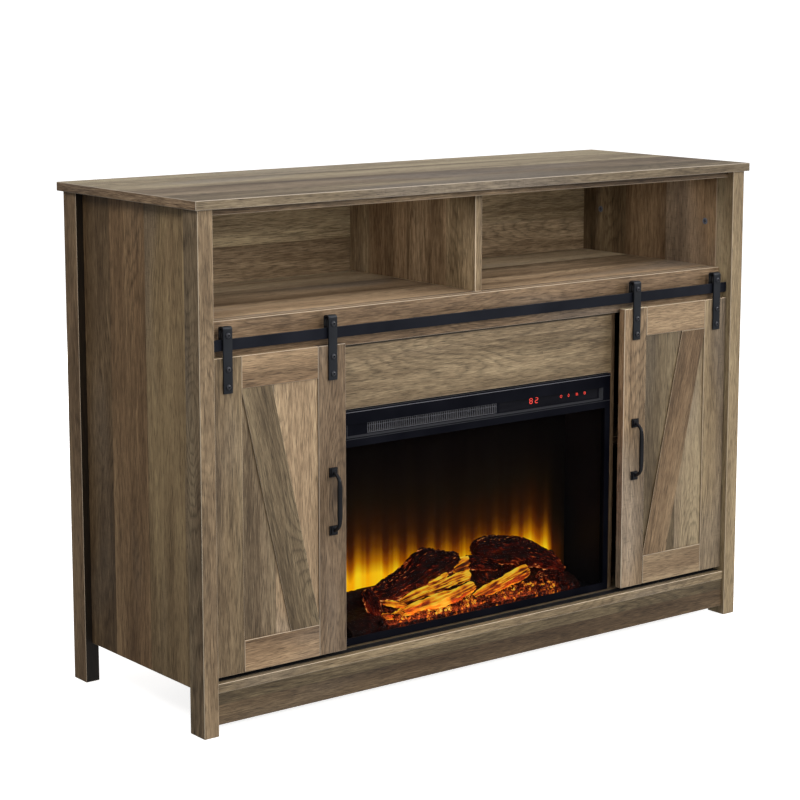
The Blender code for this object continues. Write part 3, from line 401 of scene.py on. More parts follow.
def flame_screen():
    """Flames on the screen: a yellow streak over each lamp, in an orange glow that fades with height."""
    material, g = new_look("flame_screen_acrylic")
    place = g.coords()
    x, _, z = g.split(place)[:3]
    sway = g.grain(place, (9, 1, 5), 1.0)
    phase = g.math("DIVIDE", g.times_plus(sway, 15 * MM, g.plus(x, 17 * MM)), STREAK_PITCH)
    wave = g.times_plus(g.math("COSINE", g.times(phase, math.tau)), 0.5, 0.5)
    wave = g.math("POWER", wave, 0.65)
    thin = g.grain(place, (78, 1, 1.6), 2.0, 0.55, location=(3.1, 0, 0))
    power = g.grain(place, (13, 1, 0.6), 1.0, location=(8.4, 0, 0))
    streak = g.plus(g.times(wave, 0.66), g.span(thin, 0.30, 0.70, -0.10, 0.36))
    along = g.ramp(g.span(x, -FLAME_REACH_X, FLAME_REACH_X), [
        (0.0, 0.40), (0.06, 0.62), (0.13, 0.94), (0.22, 1.04), (0.34, 0.84), (0.5, 0.70), (0.70, 0.76),
        (0.86, 0.94), (0.92, 0.62), (0.96, 0.18), (1.0, 0.05),
    ], "EASE")
    reach = g.times_plus(g.plus(streak, power), 6 * MM, 30 * MM)
    rise = g.math("DIVIDE", g.math("SUBTRACT", z, FLAME_FOOT), reach)
    fall = g.math("EXPONENT", g.times(g.math("MAXIMUM", rise, -0.2), -1.0))
    bright = g.times_plus(streak, 0.40, 0.74)
    haze = g.times(g.span(z, 375 * MM, 150 * MM, 0.0, 0.14, smooth=True), along)
    base = g.times(g.span(z, 215 * MM, 150 * MM, 0.0, 0.16, smooth=True), along)
    level = g.times_plus(g.times(fall, along), bright, g.plus(haze, base))
    orange, lemon = (g.ramp(level, [(at, pair[which]) for at, *pair in FLAME_COLORS]) for which in (0, 1))
    yellow = g.times(g.span(streak, 0.25, 0.90, smooth=True), g.span(level, 0.04, 0.34, 0.30, 1.0))
    color = g.mix(yellow, orange, lemon)
    g.set(Base_Color=g.ramp(thin, [(0.3, (0.003, 0.002, 0.002)), (0.7, (0.006, 0.005, 0.004))]))
    g.set(Emission_Color=color, Emission_Strength=1.35, Roughness=0.8, Specular_IOR_Level=0.02)
    return material


def lamp_power(g, x):
    """How strongly the lamps under the embers shine at this X."""
    return g.ramp(g.span(x, -BED_REACH_X, BED_REACH_X), [
        (0.0, 0.0), (0.12, 0.14), (0.21, 0.72), (0.40, 0.98), (0.56, 1.0), (0.70, 0.86), (0.84, 0.58),
        (0.95, 0.30), (1.0, 0.0),
    ], "EASE")


def resin_look(name, pattern, body, glow, strength, depth):
    """A moulded ember piece: its pattern leads the body and the glow through their colors.

    The relief is the height that its mesh stores at each point, and the depth of bark is in millimetres.
    """
    material, g = new_look(name)
    relief = g.node("ShaderNodeAttribute", {"attribute_name": "relief"}).outputs["Fac"]
    bark, heat = pattern(g, g.coords(), g.split(g.coords("Normal"))[2], relief)
    g.set(Base_Color=g.ramp(bark, body), Emission_Color=g.ramp(heat, glow), Emission_Strength=strength)
    g.set(Roughness=g.span(bark, 0.3, 0.7, 0.42, 0.75), Specular_IOR_Level=0.10)
    g.bump(bark, depth * MM, 0.8)
    return material


def ember_pattern(g, place, _, relief):
    """Gravel lit from below: yellow in the middle, red further out, black in the hollows."""
    x, y = g.split(place)[:2]
    grains = g.noise(place, 3.0, 0.6, 210.0)
    crust = g.noise(place, 2.0, 0.5, 40.0)
    near = g.span(y, behind(108 * MM), behind(76 * MM), 0.25, 1.0, smooth=True)
    heat = g.times(g.span(grains, 0.36, 0.64), g.span(crust, 0.36, 0.56, 0.25, 1.0))
    heat = g.times(heat, g.times_plus(relief, 1.1, 0.20))
    return grains, g.times(g.times(heat, lamp_power(g, x)), near)


def charred_pattern(g, place, lift, relief):
    """Near black bark with a dark red body, and painted light: orange on the ridges close to the embers,
    and a rim light on faces turned up and back towards the flames.
    """
    x, _, z = g.split(place)[:3]
    bark = g.grain(place, (10, 200, 200), 3.0, 0.65, rotation=(0, 0.16, 0))
    chips = g.noise(place, 2.0, 0.5, 60.0)
    low = g.span(z, 205 * MM, 120 * MM, 0.26, 1.0)
    facing = g.span(lift, 0.75, -0.10, 0.05, 1.0)
    ridge = g.times(g.span(relief, 0.45, 0.95), g.span(bark, 0.40, 0.62))
    painted_ember_light = g.times_plus(g.span(chips, 0.36, 0.66), 0.22, g.times(ridge, 1.20))
    sides = g.span(g.math("ABSOLUTE", x), 200 * MM, BED_REACH_X, 1.0, 0.55)
    front = g.times(g.times(painted_ember_light, g.times(low, facing)), sides)
    # Painted rim light: faces turned up and back towards the flames glow.
    rim_light_facing = g.span(g.split(g.coords("Normal"))[1], -0.12, 0.20)
    rim = g.times(rim_light_facing, g.span(lift, 0.60, 0.92, 0.0, 0.62))
    rim = g.times(rim, g.span(chips, 0.36, 0.52, 0.35, 1.0))
    return bark, g.plus(front, g.times(rim, sides))


def glowing_pattern(g, place, lift, relief):
    """Lit resin logs: yellow ridges and tops, orange flanks and dark brown furrows."""
    x = g.split(place)[0]
    bark = g.grain(place, (34, 210, 210), 3.0, 0.6, rotation=(0, 0.18, 0))
    blotch = g.noise(place, 2.0, 0.5, 42.0)
    heat = g.times_plus(lift, 0.26, 0.06)
    for layer, middle, weight in ((relief, 0.35, 0.58), (bark, 0.5, 0.10), (blotch, 0.5, 1.15)):
        heat = g.times_plus(g.math("SUBTRACT", layer, middle), weight, heat)
    heat = g.plus(heat, 0.40)
    return bark, g.times(heat, g.times_plus(lamp_power(g, x), 0.45, 0.62))


def circuit_board():
    material, g = new_look("circuit_board")
    place = g.coords()
    tracks = g.node("ShaderNodeTexBrick", Vector=g.scaled(place, (60, 60, 60)), Scale=1.0,
                    Mortar_Size=0.04)
    mask = g.noise(place, 2.0, 0.5, 60.0)
    green = g.ramp(mask, [(0.3, (0.010, 0.055, 0.026)), (0.7, (0.022, 0.095, 0.048))])
    g.set(Base_Color=g.mix(tracks.outputs["Fac"], green, (0.06, 0.16, 0.07, 1.0)))
    g.set(Roughness=g.span(mask, 0.3, 0.7, 0.28, 0.42))
    return material


# -------- materials by piece


IRON = coated("black_powder_coat", (0.0065, 0.0075, 0.0120), 0.42, 1700, 0.05, 0.4, gloss=0.08)
STRAP_PAINT = coated("strap_powder_coat", (0.0095, 0.011, 0.0145), 0.40, 1700, 0.05, 0.6, gloss=0.18)
BOLT = coated("black_bolt_head", (0.012, 0.013, 0.018), 0.30, 1700, 0.03, 0.4, gloss=0.5)
GLOSS_IRON = coated("handle_black", (0.004, 0.0045, 0.0065), 0.20, 900, 0.02, 0.2, gloss=0.22)
NYLON = coated("black_nylon", (0.010, 0.010, 0.011), 0.50, 600, 0.04, gloss=0.2)
TRIM = coated("satin_black_trim", (0.0016, 0.0019, 0.0045), 0.42, 1400, 0.02, 0.9, gloss=0.03)
GRILLE = coated("grille_satin", (0.10, 0.10, 0.115), 0.36, 1400, 0.02, 0.2, gloss=0.3)
CASE = case_steel()
ZINC = coated("zinc_plated_steel", (0.46, 0.47, 0.50), 0.34, 500, 0.02, 0.1, (0.2, 1, 1), metallic=1.0)
COVER = coated("case_cover_paint", (0.060, 0.061, 0.064), 0.42, 900, 0.04, 0.3, gloss=0.35)
CERAMIC = coated("heater_ceramic", (0.045, 0.043, 0.040), 0.72, 500, 0.08, gloss=0.2)
FOIL = coated("reflector_foil", (0.78, 0.78, 0.79), 0.16, 260, 0.25, 0.0, (0.4, 1, 1), metallic=1.0)
CAM = coated("cam_fitting_grey", (0.105, 0.118, 0.150), 0.45, 900, 0.03)
CAM_SLOT = coated("cam_fitting_cross", (0.008, 0.009, 0.012), 0.5, 900, 0.02)
GLASS = glossy("tinted_glass", (7, 1, 26), (0.3, (0.0008, 0.0008, 0.001)), (0.7, (0.0022, 0.0022, 0.003)),
               (0.03, 0.07), Alpha=0.2, Specular_IOR_Level=0.03)
STRIP = glossy("gloss_black_strip", (20, 20, 90), (0.3, (0.003, 0.003, 0.005)),
               (0.8, (0.008, 0.008, 0.011)), (0.10, 0.16), Specular_IOR_Level=0.06)
INDICATOR = indicator()
SCREEN = flame_screen()
EMBERS = resin_look(
    "ember_gravel", ember_pattern, [(0.35, (0.004, 0.002, 0.002)), (0.7, (0.022, 0.008, 0.005))],
    [(0.0, 0.0), (0.07, (0.02, 0.0015, 0.0007)), (0.18, (0.20, 0.022, 0.004)),
     (0.32, (0.78, 0.17, 0.012)), (0.48, (1.0, 0.44, 0.02)), (0.72, (1.0, 0.74, 0.10))],
    strength=1.1, depth=1.2)
CHARRED = resin_look(
    "charred_bark", charred_pattern,
    [(0.3, (0.0015, 0.0003, 0.0002)), (0.55, (0.008, 0.0014, 0.0008)), (0.75, (0.035, 0.007, 0.004))],
    [(0.0, (0.001, 0.0001, 0.0)), (0.08, (0.018, 0.0014, 0.0005)), (0.20, (0.115, 0.008, 0.002)),
     (0.38, (0.38, 0.06, 0.012)), (0.62, (1.0, 0.42, 0.12))],
    strength=1.25, depth=1.8)
GLOWING = resin_look(
    "glowing_log", glowing_pattern, [(0.3, (0.02, 0.005, 0.002)), (0.7, (0.09, 0.025, 0.008))],
    [(0.06, (0.003, 0.0003, 0.0)), (0.22, (0.055, 0.006, 0.001)), (0.36, (0.26, 0.038, 0.003)),
     (0.52, (0.78, 0.22, 0.006)), (0.70, (1.0, 0.46, 0.012)), (0.92, (1.0, 0.70, 0.05))],
    strength=1.02, depth=1.2)

# Grain axis, across axis and tint of each board, whose place in this list is the number of its print.
# The tints are partly the boards' own tone and partly painted light and shade: the top is painted darker,
# and the upper shelf, the centre divider and the left side panel paler, for how light falls on them.
BOARDS = {
    "top_panel": ("X", "Y", (0.87, 0.88, 0.93)),
    "top_front_rail": ("X", "Z", (1.0, 0.97, 0.93)),
    "front_left_post": ("Z", "X", (1.02, 1.02, 0.99)),
    "front_right_post": ("Z", "X", (1.04, 1.0, 0.96)),
    "back_left_post": ("Z", "Y", (0.92, 0.86, 0.80)),
    "back_right_post": ("Z", "Y", (0.92, 0.86, 0.80)),
    "left_side_panel": ("Z", "Y", (1.22, 1.09, 0.93)),
    "right_side_panel": ("Z", "Y", (0.96, 0.90, 0.84)),
    "header_board": ("X", "Z", (1.05, 1.03, 1.02)),
    "upper_shelf": ("X", "Y", (1.33, 1.36, 1.42)),
    "centre_divider": ("Z", "Y", (1.75, 1.72, 1.68)),
    "left_partition": ("Z", "Y", (1.0, 0.97, 0.93)),
    "right_partition": ("Z", "Y", (1.0, 0.97, 0.93)),
    "insert_apron": ("X", "Z", (1.06, 1.03, 0.98)),
    "bottom_shelf": ("X", "Y", (1.1, 1.07, 1.03)),
    "front_skirt": ("X", "Z", (0.56, 0.54, 0.49)),
    "left_compartment_shelf": ("X", "Y", (1.1, 1.07, 1.0)),
    "right_compartment_shelf": ("X", "Y", (1.1, 1.07, 1.0)),
}
BOARD_NUMBERS = {"left_side_panel": 152, "right_side_panel": 271}  # prints chosen one by one
# How much paler the top's ends are made: a painted light where little light falls on them
TOP_ENDS_PAINTED_LIGHT = 3.1
HEADER_SHADOW = 3.6 * MM  # how far the header's shadow reaches down the apron
DOOR_TINT = (1.08, 1.03, 0.98)
DOOR_TINTS = {
    "left_door_panel": (1.33, 1.36, 1.37),
    "left_door_inner_stile": (0.86, 0.86, 0.88),
    "left_door_brace": (0.78, 0.75, 0.72),
    "right_door_panel": (0.87, 0.86, 0.83),
    "right_door_inner_stile": (1.36, 1.38, 1.38),
    "right_door_top_rail": (0.97, 0.96, 0.94),
    "right_door_bottom_rail": (0.86, 0.85, 0.83),
    "right_door_brace": (1.02, 0.97, 0.90),
}
# Grain axis, across axis and the board number on the left and on the right door
DOOR_BOARDS = {
    "inner_stile": ("Z", "X", (48, 50)),
    "outer_stile": ("Z", "X", (31, 51)),
    "top_rail": ("X", "Z", (39, 52)),
    "bottom_rail": ("X", "Z", (45, 53)),
    "panel": ("Z", "X", (65, 54)),
}
BRACE_BOARDS = (64, 80)
BRACE_LEVEL_WIDTH = 57.5 * MM  # of a brace's board, measured along X
FINISHES = {
    "door_track": IRON, "floor_guide_channel": NYLON, "glass_frame": TRIM, "front_glass": GLASS,
    "control_fascia": TRIM, "touch_strip": STRIP, "insert_case": CASE, "flame_screen": SCREEN,
    "led_board": circuit_board(), "rotor_motor": ZINC, "blower_motor": ZINC, "heater_element": CERAMIC,
    "flame_rotor": FOIL, "blower_wheel": ZINC, "back_panel": hardboard(),
}
ROUND_NODES = ("door_track", "insert_case", "flame_rotor", "blower_wheel", "rotor_motor", "blower_motor")


def finish_node(name, material):
    mesh = NODES[name].data
    mesh.materials.clear()
    mesh.materials.append(material)


def smooth(mesh, degrees=35):
    mesh.shade_smooth()
    mesh.set_sharp_from_angle(angle=math.radians(degrees))


def finish_cad_nodes():
    for board, (name, (grain, across, tint)) in enumerate(BOARDS.items()):
        band = TOP_ENDS_PAINTED_LIGHT if name == "top_panel" else 1.0
        shade_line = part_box("header_board")[0].z - HEADER_SHADOW if name == "insert_apron" else None
        board = BOARD_NUMBERS.get(name, board)
        # The back posts' front faces get a painted shadow.
        painted_front_shadow = name.startswith("back_")
        finish_node(name, oak(f"oak_{name}", grain, across, board, tint, 0.0, painted_front_shadow, band, shade_line))
    for door, (side, sign) in enumerate(SIDES):
        for part, (grain, across, boards) in DOOR_BOARDS.items():
            name = f"{side}_door_{part}"
            tint = DOOR_TINTS.get(name, DOOR_TINT)
            finish_node(name, oak(f"oak_{name}", grain, across, boards[door], tint))
        name = f"{side}_door_brace"
        low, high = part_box(name)
        tilt = sign * math.atan2(high.z - low.z, high.x - low.x - BRACE_LEVEL_WIDTH)
        finish_node(name, oak(f"oak_{name}", "X", "Z", BRACE_BOARDS[door], DOOR_TINTS[name], tilt))
        finish_node(f"{side}_door_guide", NYLON)
        for name in (f"{side}_door_inner_wheel", f"{side}_door_outer_wheel"):
            finish_node(name, NYLON)
            smooth(NODES[name].data)
    for name, material in FINISHES.items():
        finish_node(name, material)
    for name in ROUND_NODES:
        smooth(NODES[name].data)


# -------- mesh helpers


def show(thing):
    bpy.context.scene.collection.objects.link(thing)


def mesh_of(bm, name, materials):
    bmesh.ops.recalc_face_normals(bm, faces=bm.faces)
    mesh = bpy.data.meshes.new(name)
    bm.to_mesh(mesh)
    bm.free()
    for material in materials:
        mesh.materials.append(material)
    return mesh


def place_piece(name, bm, slot, *materials, body="cabinet", nodes=(), crease=35):
    """Adds a piece that rides on a body and may stand for CAD nodes, smooth up to the crease angle."""
    mesh = mesh_of(bm, name, materials)
    if crease:
        smooth(mesh, crease)
    piece = bpy.data.objects.new(name, mesh)
    show(piece)
    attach(piece, body)
    if nodes:
        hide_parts(*nodes)


def round_edges(bm, edges, size):
    bmesh.ops.bevel(bm, geom=edges, offset=size, segments=2, profile=0.6, affect="EDGES")


def add_box(bm, low, high, rounding):
    """A box between two corners, with its edges rounded."""
    low, high = Vector(low), Vector(high)
    placed = Matrix.Translation((low + high) / 2) @ Matrix.Diagonal((*(high - low), 1))
    made = bmesh.ops.create_cube(bm, size=1, matrix=placed)["verts"]
    round_edges(bm, list({edge for vertex in made for edge in vertex.link_edges}), rounding)


def circle_angles(count):
    return [math.tau * number / count for number in range(count)]


def smooth_path(points, steps):
    """Points along a smooth curve through the given ones, with so many steps between each two."""
    last = len(points) - 1
    path = []
    for number in range(last):
        p0, p1, p2, p3 = (points[max(0, min(last, number + shift))] for shift in (-1, 0, 1, 2))
        for step in range(steps):
            share = step / steps
            path.append(0.5 * (2 * p1 + (p2 - p0) * share + (2 * p0 - 5 * p1 + 4 * p2 - p3) * share ** 2
                               + (3 * p1 - p0 - 3 * p2 + p3) * share ** 3))
    return path + [points[-1]]


def add_rings(bm, rings):
    """A skin over rings of equally many points; the ends are closed with a fan."""
    rows = [[bm.verts.new(point) for point in ring] for ring in rings]
    for first, second in zip(rows, rows[1:]):
        for number in range(len(first)):
            follower = (number + 1) % len(first)
            bm.faces.new((first[number], first[follower], second[follower], second[number]))
    for row in (rows[0], rows[-1]):
        middle = bm.verts.new(sum((vertex.co for vertex in row), Vector()) / len(row))
        for number in range(len(row)):
            bm.faces.new((row[number], row[(number + 1) % len(row)], middle))
    return rows


def button_head(bm, base, axis, radius, height, socket=0.4, look=0):
    """A domed screw head with a hexagon socket, standing on a base point."""
    turn = Vector((0, 0, 1)).rotation_difference(Vector(axis)).to_matrix()
    hexagon = socket * radius

    def ring(size, up, six=False):
        points = []
        for angle in circle_angles(30):
            flat = (angle + math.pi / 6) % (math.pi / 3) - math.pi / 6
            reach = size * (math.cos(math.pi / 6) / math.cos(flat) if six else 1.0)
            offset = Vector((reach * math.cos(angle), reach * math.sin(angle), up))
            points.append(Vector(base) + turn @ offset)
        return points

    dome = [(math.sin(step), math.cos(step)) for step in (1.45, 1.1, 0.8, 0.52)]
    known = set(bm.faces)
    rings = [ring(radius, 0.0), ring(radius, 0.30 * height)]
    rings += [ring(radius * out, (0.30 + 0.70 * up) * height) for out, up in dome]
    rings += [ring(hexagon, 0.93 * height, True), ring(hexagon * 0.96, 0.35 * height, True)]
    add_rings(bm, rings)
    for face in set(bm.faces) - known:
        face.material_index = look


# -------- door hardware


STRAP_THICK = 3 * MM
STRAP_BEND = 5 * MM
STRAP_BACK_LEG = 21.8 * MM  # from the strap's top down to the end of its back leg
STRAP_BOLTS = (39 * MM, 10.5 * MM)  # up from the strap's lower end
STRAP_ROUNDING = 0.45 * MM
HEAD_RADIUS = 4.4 * MM
HEAD_HEIGHT = 3.1 * MM
AXLE_RADIUS = 2.5 * MM
SPACER_RADIUS = 4.6 * MM
SPACER_LENGTH = 2.4 * MM


def arc(centre_y, centre_z, radius, start, stop):
    """Points on a quarter turn in the YZ plane, from one angle to another in degrees."""
    angles = [math.radians(start + (stop - start) * step / 10) for step in range(11)]
    return [(centre_y + radius * math.cos(a), centre_z + radius * math.sin(a)) for a in angles]


def build_hanger(side, place):
    """A bent flat strap with rounded edges, its two door bolts, and the axle with its head and spacer."""
    node = f"{side}_door_{place}_hanger"
    low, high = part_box(node)
    wheel_low, wheel_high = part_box(f"{side}_door_{place}_wheel")
    axle = (wheel_low + wheel_high) / 2
    back = high.y
    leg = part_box(f"{side}_door_{place}_stile")[0].y - GAP  # rear face of the front leg
    front = leg - STRAP_THICK
    top, inner = high.z, STRAP_BEND - STRAP_THICK
    bend = top - STRAP_BEND
    outline = [(front, low.z)]
    outline += arc(front + STRAP_BEND, bend, STRAP_BEND, 180, 90)
    outline += arc(back - STRAP_BEND, bend, STRAP_BEND, 90, 0)
    outline += [(back, top - STRAP_BACK_LEG), (back - STRAP_THICK, top - STRAP_BACK_LEG)]
    outline += arc(back - STRAP_BEND, bend, inner, 0, 90)
    outline += arc(front + STRAP_BEND, bend, inner, 90, 180)
    outline += [(leg, low.z)]
    bm = bmesh.new()
    face = bm.faces.new([bm.verts.new((low.x, y, z)) for y, z in outline])
    pushed = bmesh.ops.extrude_face_region(bm, geom=[face])["geom"]
    moved = [item for item in pushed if isinstance(item, bmesh.types.BMVert)]
    bmesh.ops.translate(bm, verts=moved, vec=(high.x - low.x, 0, 0))
    rims = [edge for edge in bm.edges if abs(edge.verts[0].co.x - edge.verts[1].co.x) < GAP]
    round_edges(bm, rims, STRAP_ROUNDING)
    for height in (axle.z, *(low.z + up for up in STRAP_BOLTS)):
        button_head(bm, (axle.x, front, height), (0, -1, 0), HEAD_RADIUS, HEAD_HEIGHT, look=1)
    for reach, first, last in ((AXLE_RADIUS, leg - GAP, back - GAP),
                               (SPACER_RADIUS, leg, leg + SPACER_LENGTH)):
        add_rings(bm, [[(axle.x + reach * math.cos(a), y, axle.z + reach * math.sin(a))
                        for a in circle_angles(24)] for y in (first, last)])
    place_piece(f"{side}_{place}_strap_hanger", bm, "black_iron", STRAP_PAINT, BOLT,
                body=f"{side}_door", nodes=[node], crease=40)


FOOT = 16 * MM
FOOT_THICK = 5.5 * MM
GRIP = 4.5 * MM  # radius of the handle's grip


def build_handle(side):
    """A bow handle: two bevelled square feet, flat arms and a grip that swells in its middle."""
    node = f"{side}_door_handle"
    low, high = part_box(node)
    centre = (low + high) / 2
    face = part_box(f"{side}_door_inner_stile")[0].y - GAP
    foot_z = (high.z - low.z - FOOT) / 2
    out = face - low.y - GRIP
    # Reach out of the door, height over the handle's middle, and radius
    half = [
        (2.5 * MM, foot_z, 3.4 * MM), (6 * MM, foot_z - 0.5 * MM, 3.0 * MM),
        (11 * MM, foot_z - 3.4 * MM, 3.0 * MM), (out - 2.4 * MM, foot_z - 9.5 * MM, 3.3 * MM),
        (out - 0.5 * MM, foot_z - 17 * MM, 3.9 * MM), (out, foot_z - 27 * MM, GRIP),
        (out, foot_z - 40 * MM, GRIP),
    ]
    stations = half + [(reach, -height, radius) for reach, height, radius in reversed(half)]
    path = smooth_path([Vector(station) for station in stations], 7)
    level = Vector((1, 0, 0))
    bm = bmesh.new()
    rings = []
    for number, (reach, height, radius) in enumerate(path):
        after = path[min(number + 1, len(path) - 1)]
        before = path[max(number - 1, 0)]
        run = Vector((0, before.x - after.x, after.y - before.y)).normalized()
        upright = level.cross(run)
        middle = Vector((centre.x, face - reach, centre.z + height))
        rings.append([middle + radius * (math.cos(a) * level + 0.92 * math.sin(a) * upright)
                      for a in circle_angles(24)])
    add_rings(bm, rings)
    for sign in (1, -1):
        z = centre.z + sign * foot_z
        add_box(bm, (centre.x - FOOT / 2, face - 0.55 * FOOT_THICK, z - FOOT / 2),
                (centre.x + FOOT / 2, face, z + FOOT / 2), 0.6 * MM)
        inset = 1.9 * MM
        add_box(bm, (centre.x - FOOT / 2 + inset, face - FOOT_THICK, z - FOOT / 2 + inset),
                (centre.x + FOOT / 2 - inset, face - 0.4 * FOOT_THICK, z + FOOT / 2 - inset), 1.2 * MM)
    place_piece(f"{side}_bow_handle", bm, "black_iron", GLOSS_IRON, body=f"{side}_door", nodes=[node],
                crease=40)


# -------- small fittings


CAM_RADIUS = 6.2 * MM
CAM_PROUD = 0.7 * MM
CAM_SLOT_WIDTH = 1.4 * MM
CAM_SLOT_LENGTH = 7.4 * MM


def cam_fitting(bm, centre, axis):
    """A round cam lock cover with a cross slot; faces of the slot use the second material."""
    turn = Vector((0, 0, 1)).rotation_difference(Vector(axis)).to_matrix().to_4x4()
    placed = Matrix.Translation(centre) @ turn
    slot_z = 0.86 * CAM_PROUD
    rings = []
    for share, up in ((1.0, -GAP), (1.0, 0.6 * CAM_PROUD), (0.90, CAM_PROUD), (0.62, slot_z)):
        radius = share * CAM_RADIUS
        rings.append([placed @ Vector((radius * math.cos(a), radius * math.sin(a), up))
                      for a in circle_angles(28)])
    add_rings(bm, rings)
    for width, length in ((CAM_SLOT_WIDTH, CAM_SLOT_LENGTH), (CAM_SLOT_LENGTH, CAM_SLOT_WIDTH)):
        shape = Matrix.Translation((0, 0, slot_z)) @ Matrix.Diagonal((width, length, 0.2 * MM, 1))
        made = bmesh.ops.create_cube(bm, size=1, matrix=placed @ shape)["verts"]
        for face in {face for vertex in made for face in vertex.link_faces}:
            face.material_index = 1


SIDE_CAMS = (71.5 * MM, 360 * MM)  # setbacks of the cam locks on a side panel
SIDE_CAM_DROP = 98 * MM  # of the same below the top
TOP_CAMS = (64 * MM, 352 * MM)  # setbacks of those under the top
TOP_CAM_X = 545 * MM


def build_cam_fittings():
    """The cam locks that show inside the open shelf's bays, on the side panels and under the top."""
    bm = bmesh.new()
    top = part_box("top_panel")[0].z
    for side, sign in SIDES:
        low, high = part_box(f"{side}_side_panel")
        inner_x = high.x if sign < 0 else low.x
        for setback in SIDE_CAMS:
            cam_fitting(bm, (inner_x, behind(setback), top - SIDE_CAM_DROP), (-sign, 0, 0))
        for setback in TOP_CAMS:
            cam_fitting(bm, (sign * TOP_CAM_X, behind(setback), top), (0, 0, -1))
    place_piece("cam_lock_covers", bm, "black_nylon", CAM, CAM_SLOT)


SCREW_INSET = 8 * MM


def screw_line(start, end, spaces):
    """Evenly spaced places along an edge, the outer two a little way in from its ends."""
    length = end - start - 2 * SCREW_INSET
    return [start + SCREW_INSET + length * number / spaces for number in range(spaces + 1)]


def build_back_screws():
    """Pan-head screws round the edge of the back sheet."""
    low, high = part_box("back_panel")
    bm = bmesh.new()
    columns, rows = screw_line(low.x, high.x, 8), screw_line(low.z, high.z, 6)
    places = [(x, z) for x in columns for z in (rows[0], rows[-1])]
    places += [(x, z) for x in (columns[0], columns[-1]) for z in rows[1:-1]]
    for x, z in places:
        button_head(bm, (x, high.y, z), (0, 1, 0), 3.4 * MM, 1.9 * MM, 0.45)
    place_piece("back_panel_screws", bm, "zinc_steel", ZINC)


COVER_X = (-250 * MM, 232 * MM)
COVER_Z = (128 * MM, 428 * MM)
COVER_FACE = CASE_REAR + 1.2 * MM
COVER_RIBS = 5
COVER_FIRST_RIB = 60 * MM  # up from the cover's lower edge
COVER_RIB_PITCH = 45 * MM


def build_case_cover():
    """The screwed and ribbed access cover on the back of the firebox case."""
    bm = bmesh.new()
    (left, right), (bottom, top) = COVER_X, COVER_Z
    add_box(bm, (left, CASE_REAR + 0.05 * MM, bottom), (right, COVER_FACE, top), 0.5 * MM)
    inset, rib_height, margin = 40 * MM, 7 * MM, 9 * MM
    for rib in range(COVER_RIBS):
        z = bottom + COVER_FIRST_RIB + rib * COVER_RIB_PITCH
        add_box(bm, (left + inset, COVER_FACE - 0.2 * MM, z),
                (right - inset, COVER_FACE + 1.2 * MM, z + rib_height), 0.9 * MM)
    for x in (left + margin, (left + right) / 2, right - margin):
        for z in (bottom + margin, top - margin):
            button_head(bm, (x, COVER_FACE, z), (0, 1, 0), 3.6 * MM, 2 * MM, 0.45)
    place_piece("case_access_cover", bm, "case_steel", COVER)


# -------- the insert's front


GRILLE_SPACES = 68
GRILLE_RAIL = 0.7 * MM


def build_grille():
    """The outlet grille: upright rounded bars between three rails, so two rows of slots."""
    low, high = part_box("vent_grille")
    bm = bmesh.new()
    for bottom in (low.z, low.z + 0.70 * (high.z - low.z), high.z - GRILLE_RAIL):
        add_box(bm, (low.x, low.y + 0.1 * MM, bottom), (high.x, high.y, bottom + GRILLE_RAIL), 0.3 * MM)
    pitch = (high.x - low.x - 2 * MM) / GRILLE_SPACES
    half = pitch * 0.14
    for number in range(GRILLE_SPACES + 1):
        x = low.x + 1 * MM + number * pitch
        add_box(bm, (x - half, low.y, low.z + 0.4 * MM), (x + half, high.y, high.z - 0.4 * MM), 0.38 * MM)
    place_piece("outlet_grille_bars", bm, "black_trim", GRILLE, nodes=["vent_grille"], crease=50)


def build_fascia_bead():
    """The thin bead under the fascia's upper edge, paler than the fascia: a painted highlight along its
    bevel.
    """
    low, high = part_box("control_fascia")
    bm = bmesh.new()
    inset, z = 1 * MM, high.z - 4.6 * MM
    add_box(bm, (low.x + inset, low.y - 0.5 * MM, z),
            (high.x - inset, low.y + 0.6 * MM, z + 1.2 * MM), 0.4 * MM)
    place_piece("fascia_top_bead", bm, "black_trim", GRILLE, crease=60)


MARKS_RISE = 3.8 * MM  # of the digits and symbols above the strip's middle
MARKS_PROUD = 0.15 * MM
SEGMENTS = {"8": "abcdefg", "2": "abged"}
DIGITS = (("8", 120.5 * MM), ("2", 133.5 * MM))  # each with its place along X
DIGIT_WIDTH = 7.6 * MM
DIGIT_HEIGHT = 11 * MM
DIGIT_STROKE = 1.25 * MM
POWER_X, FLAME_X, WARM_X, TIMER_X = 192 * MM, 210 * MM, 230 * MM, 249 * MM
SYMBOL = 2.3 * MM  # radius of a touch symbol
SYMBOL_STROKE = 0.6 * MM


def add_bar(bm, start, end, width, y):
    """A flat bar between two (x, z) points on a face, with pointed ends."""
    first, second = Vector(start), Vector(end)
    run = (second - first).normalized()
    side = Vector((-run.y, run.x)) * width / 2
    tip = run * width / 2
    outline = [first - tip, first + side, second + side, second + tip, second - side, first - side]
    add_rings(bm, [[(point.x, depth, point.y) for point in outline] for depth in (y, y - MARKS_PROUD)])


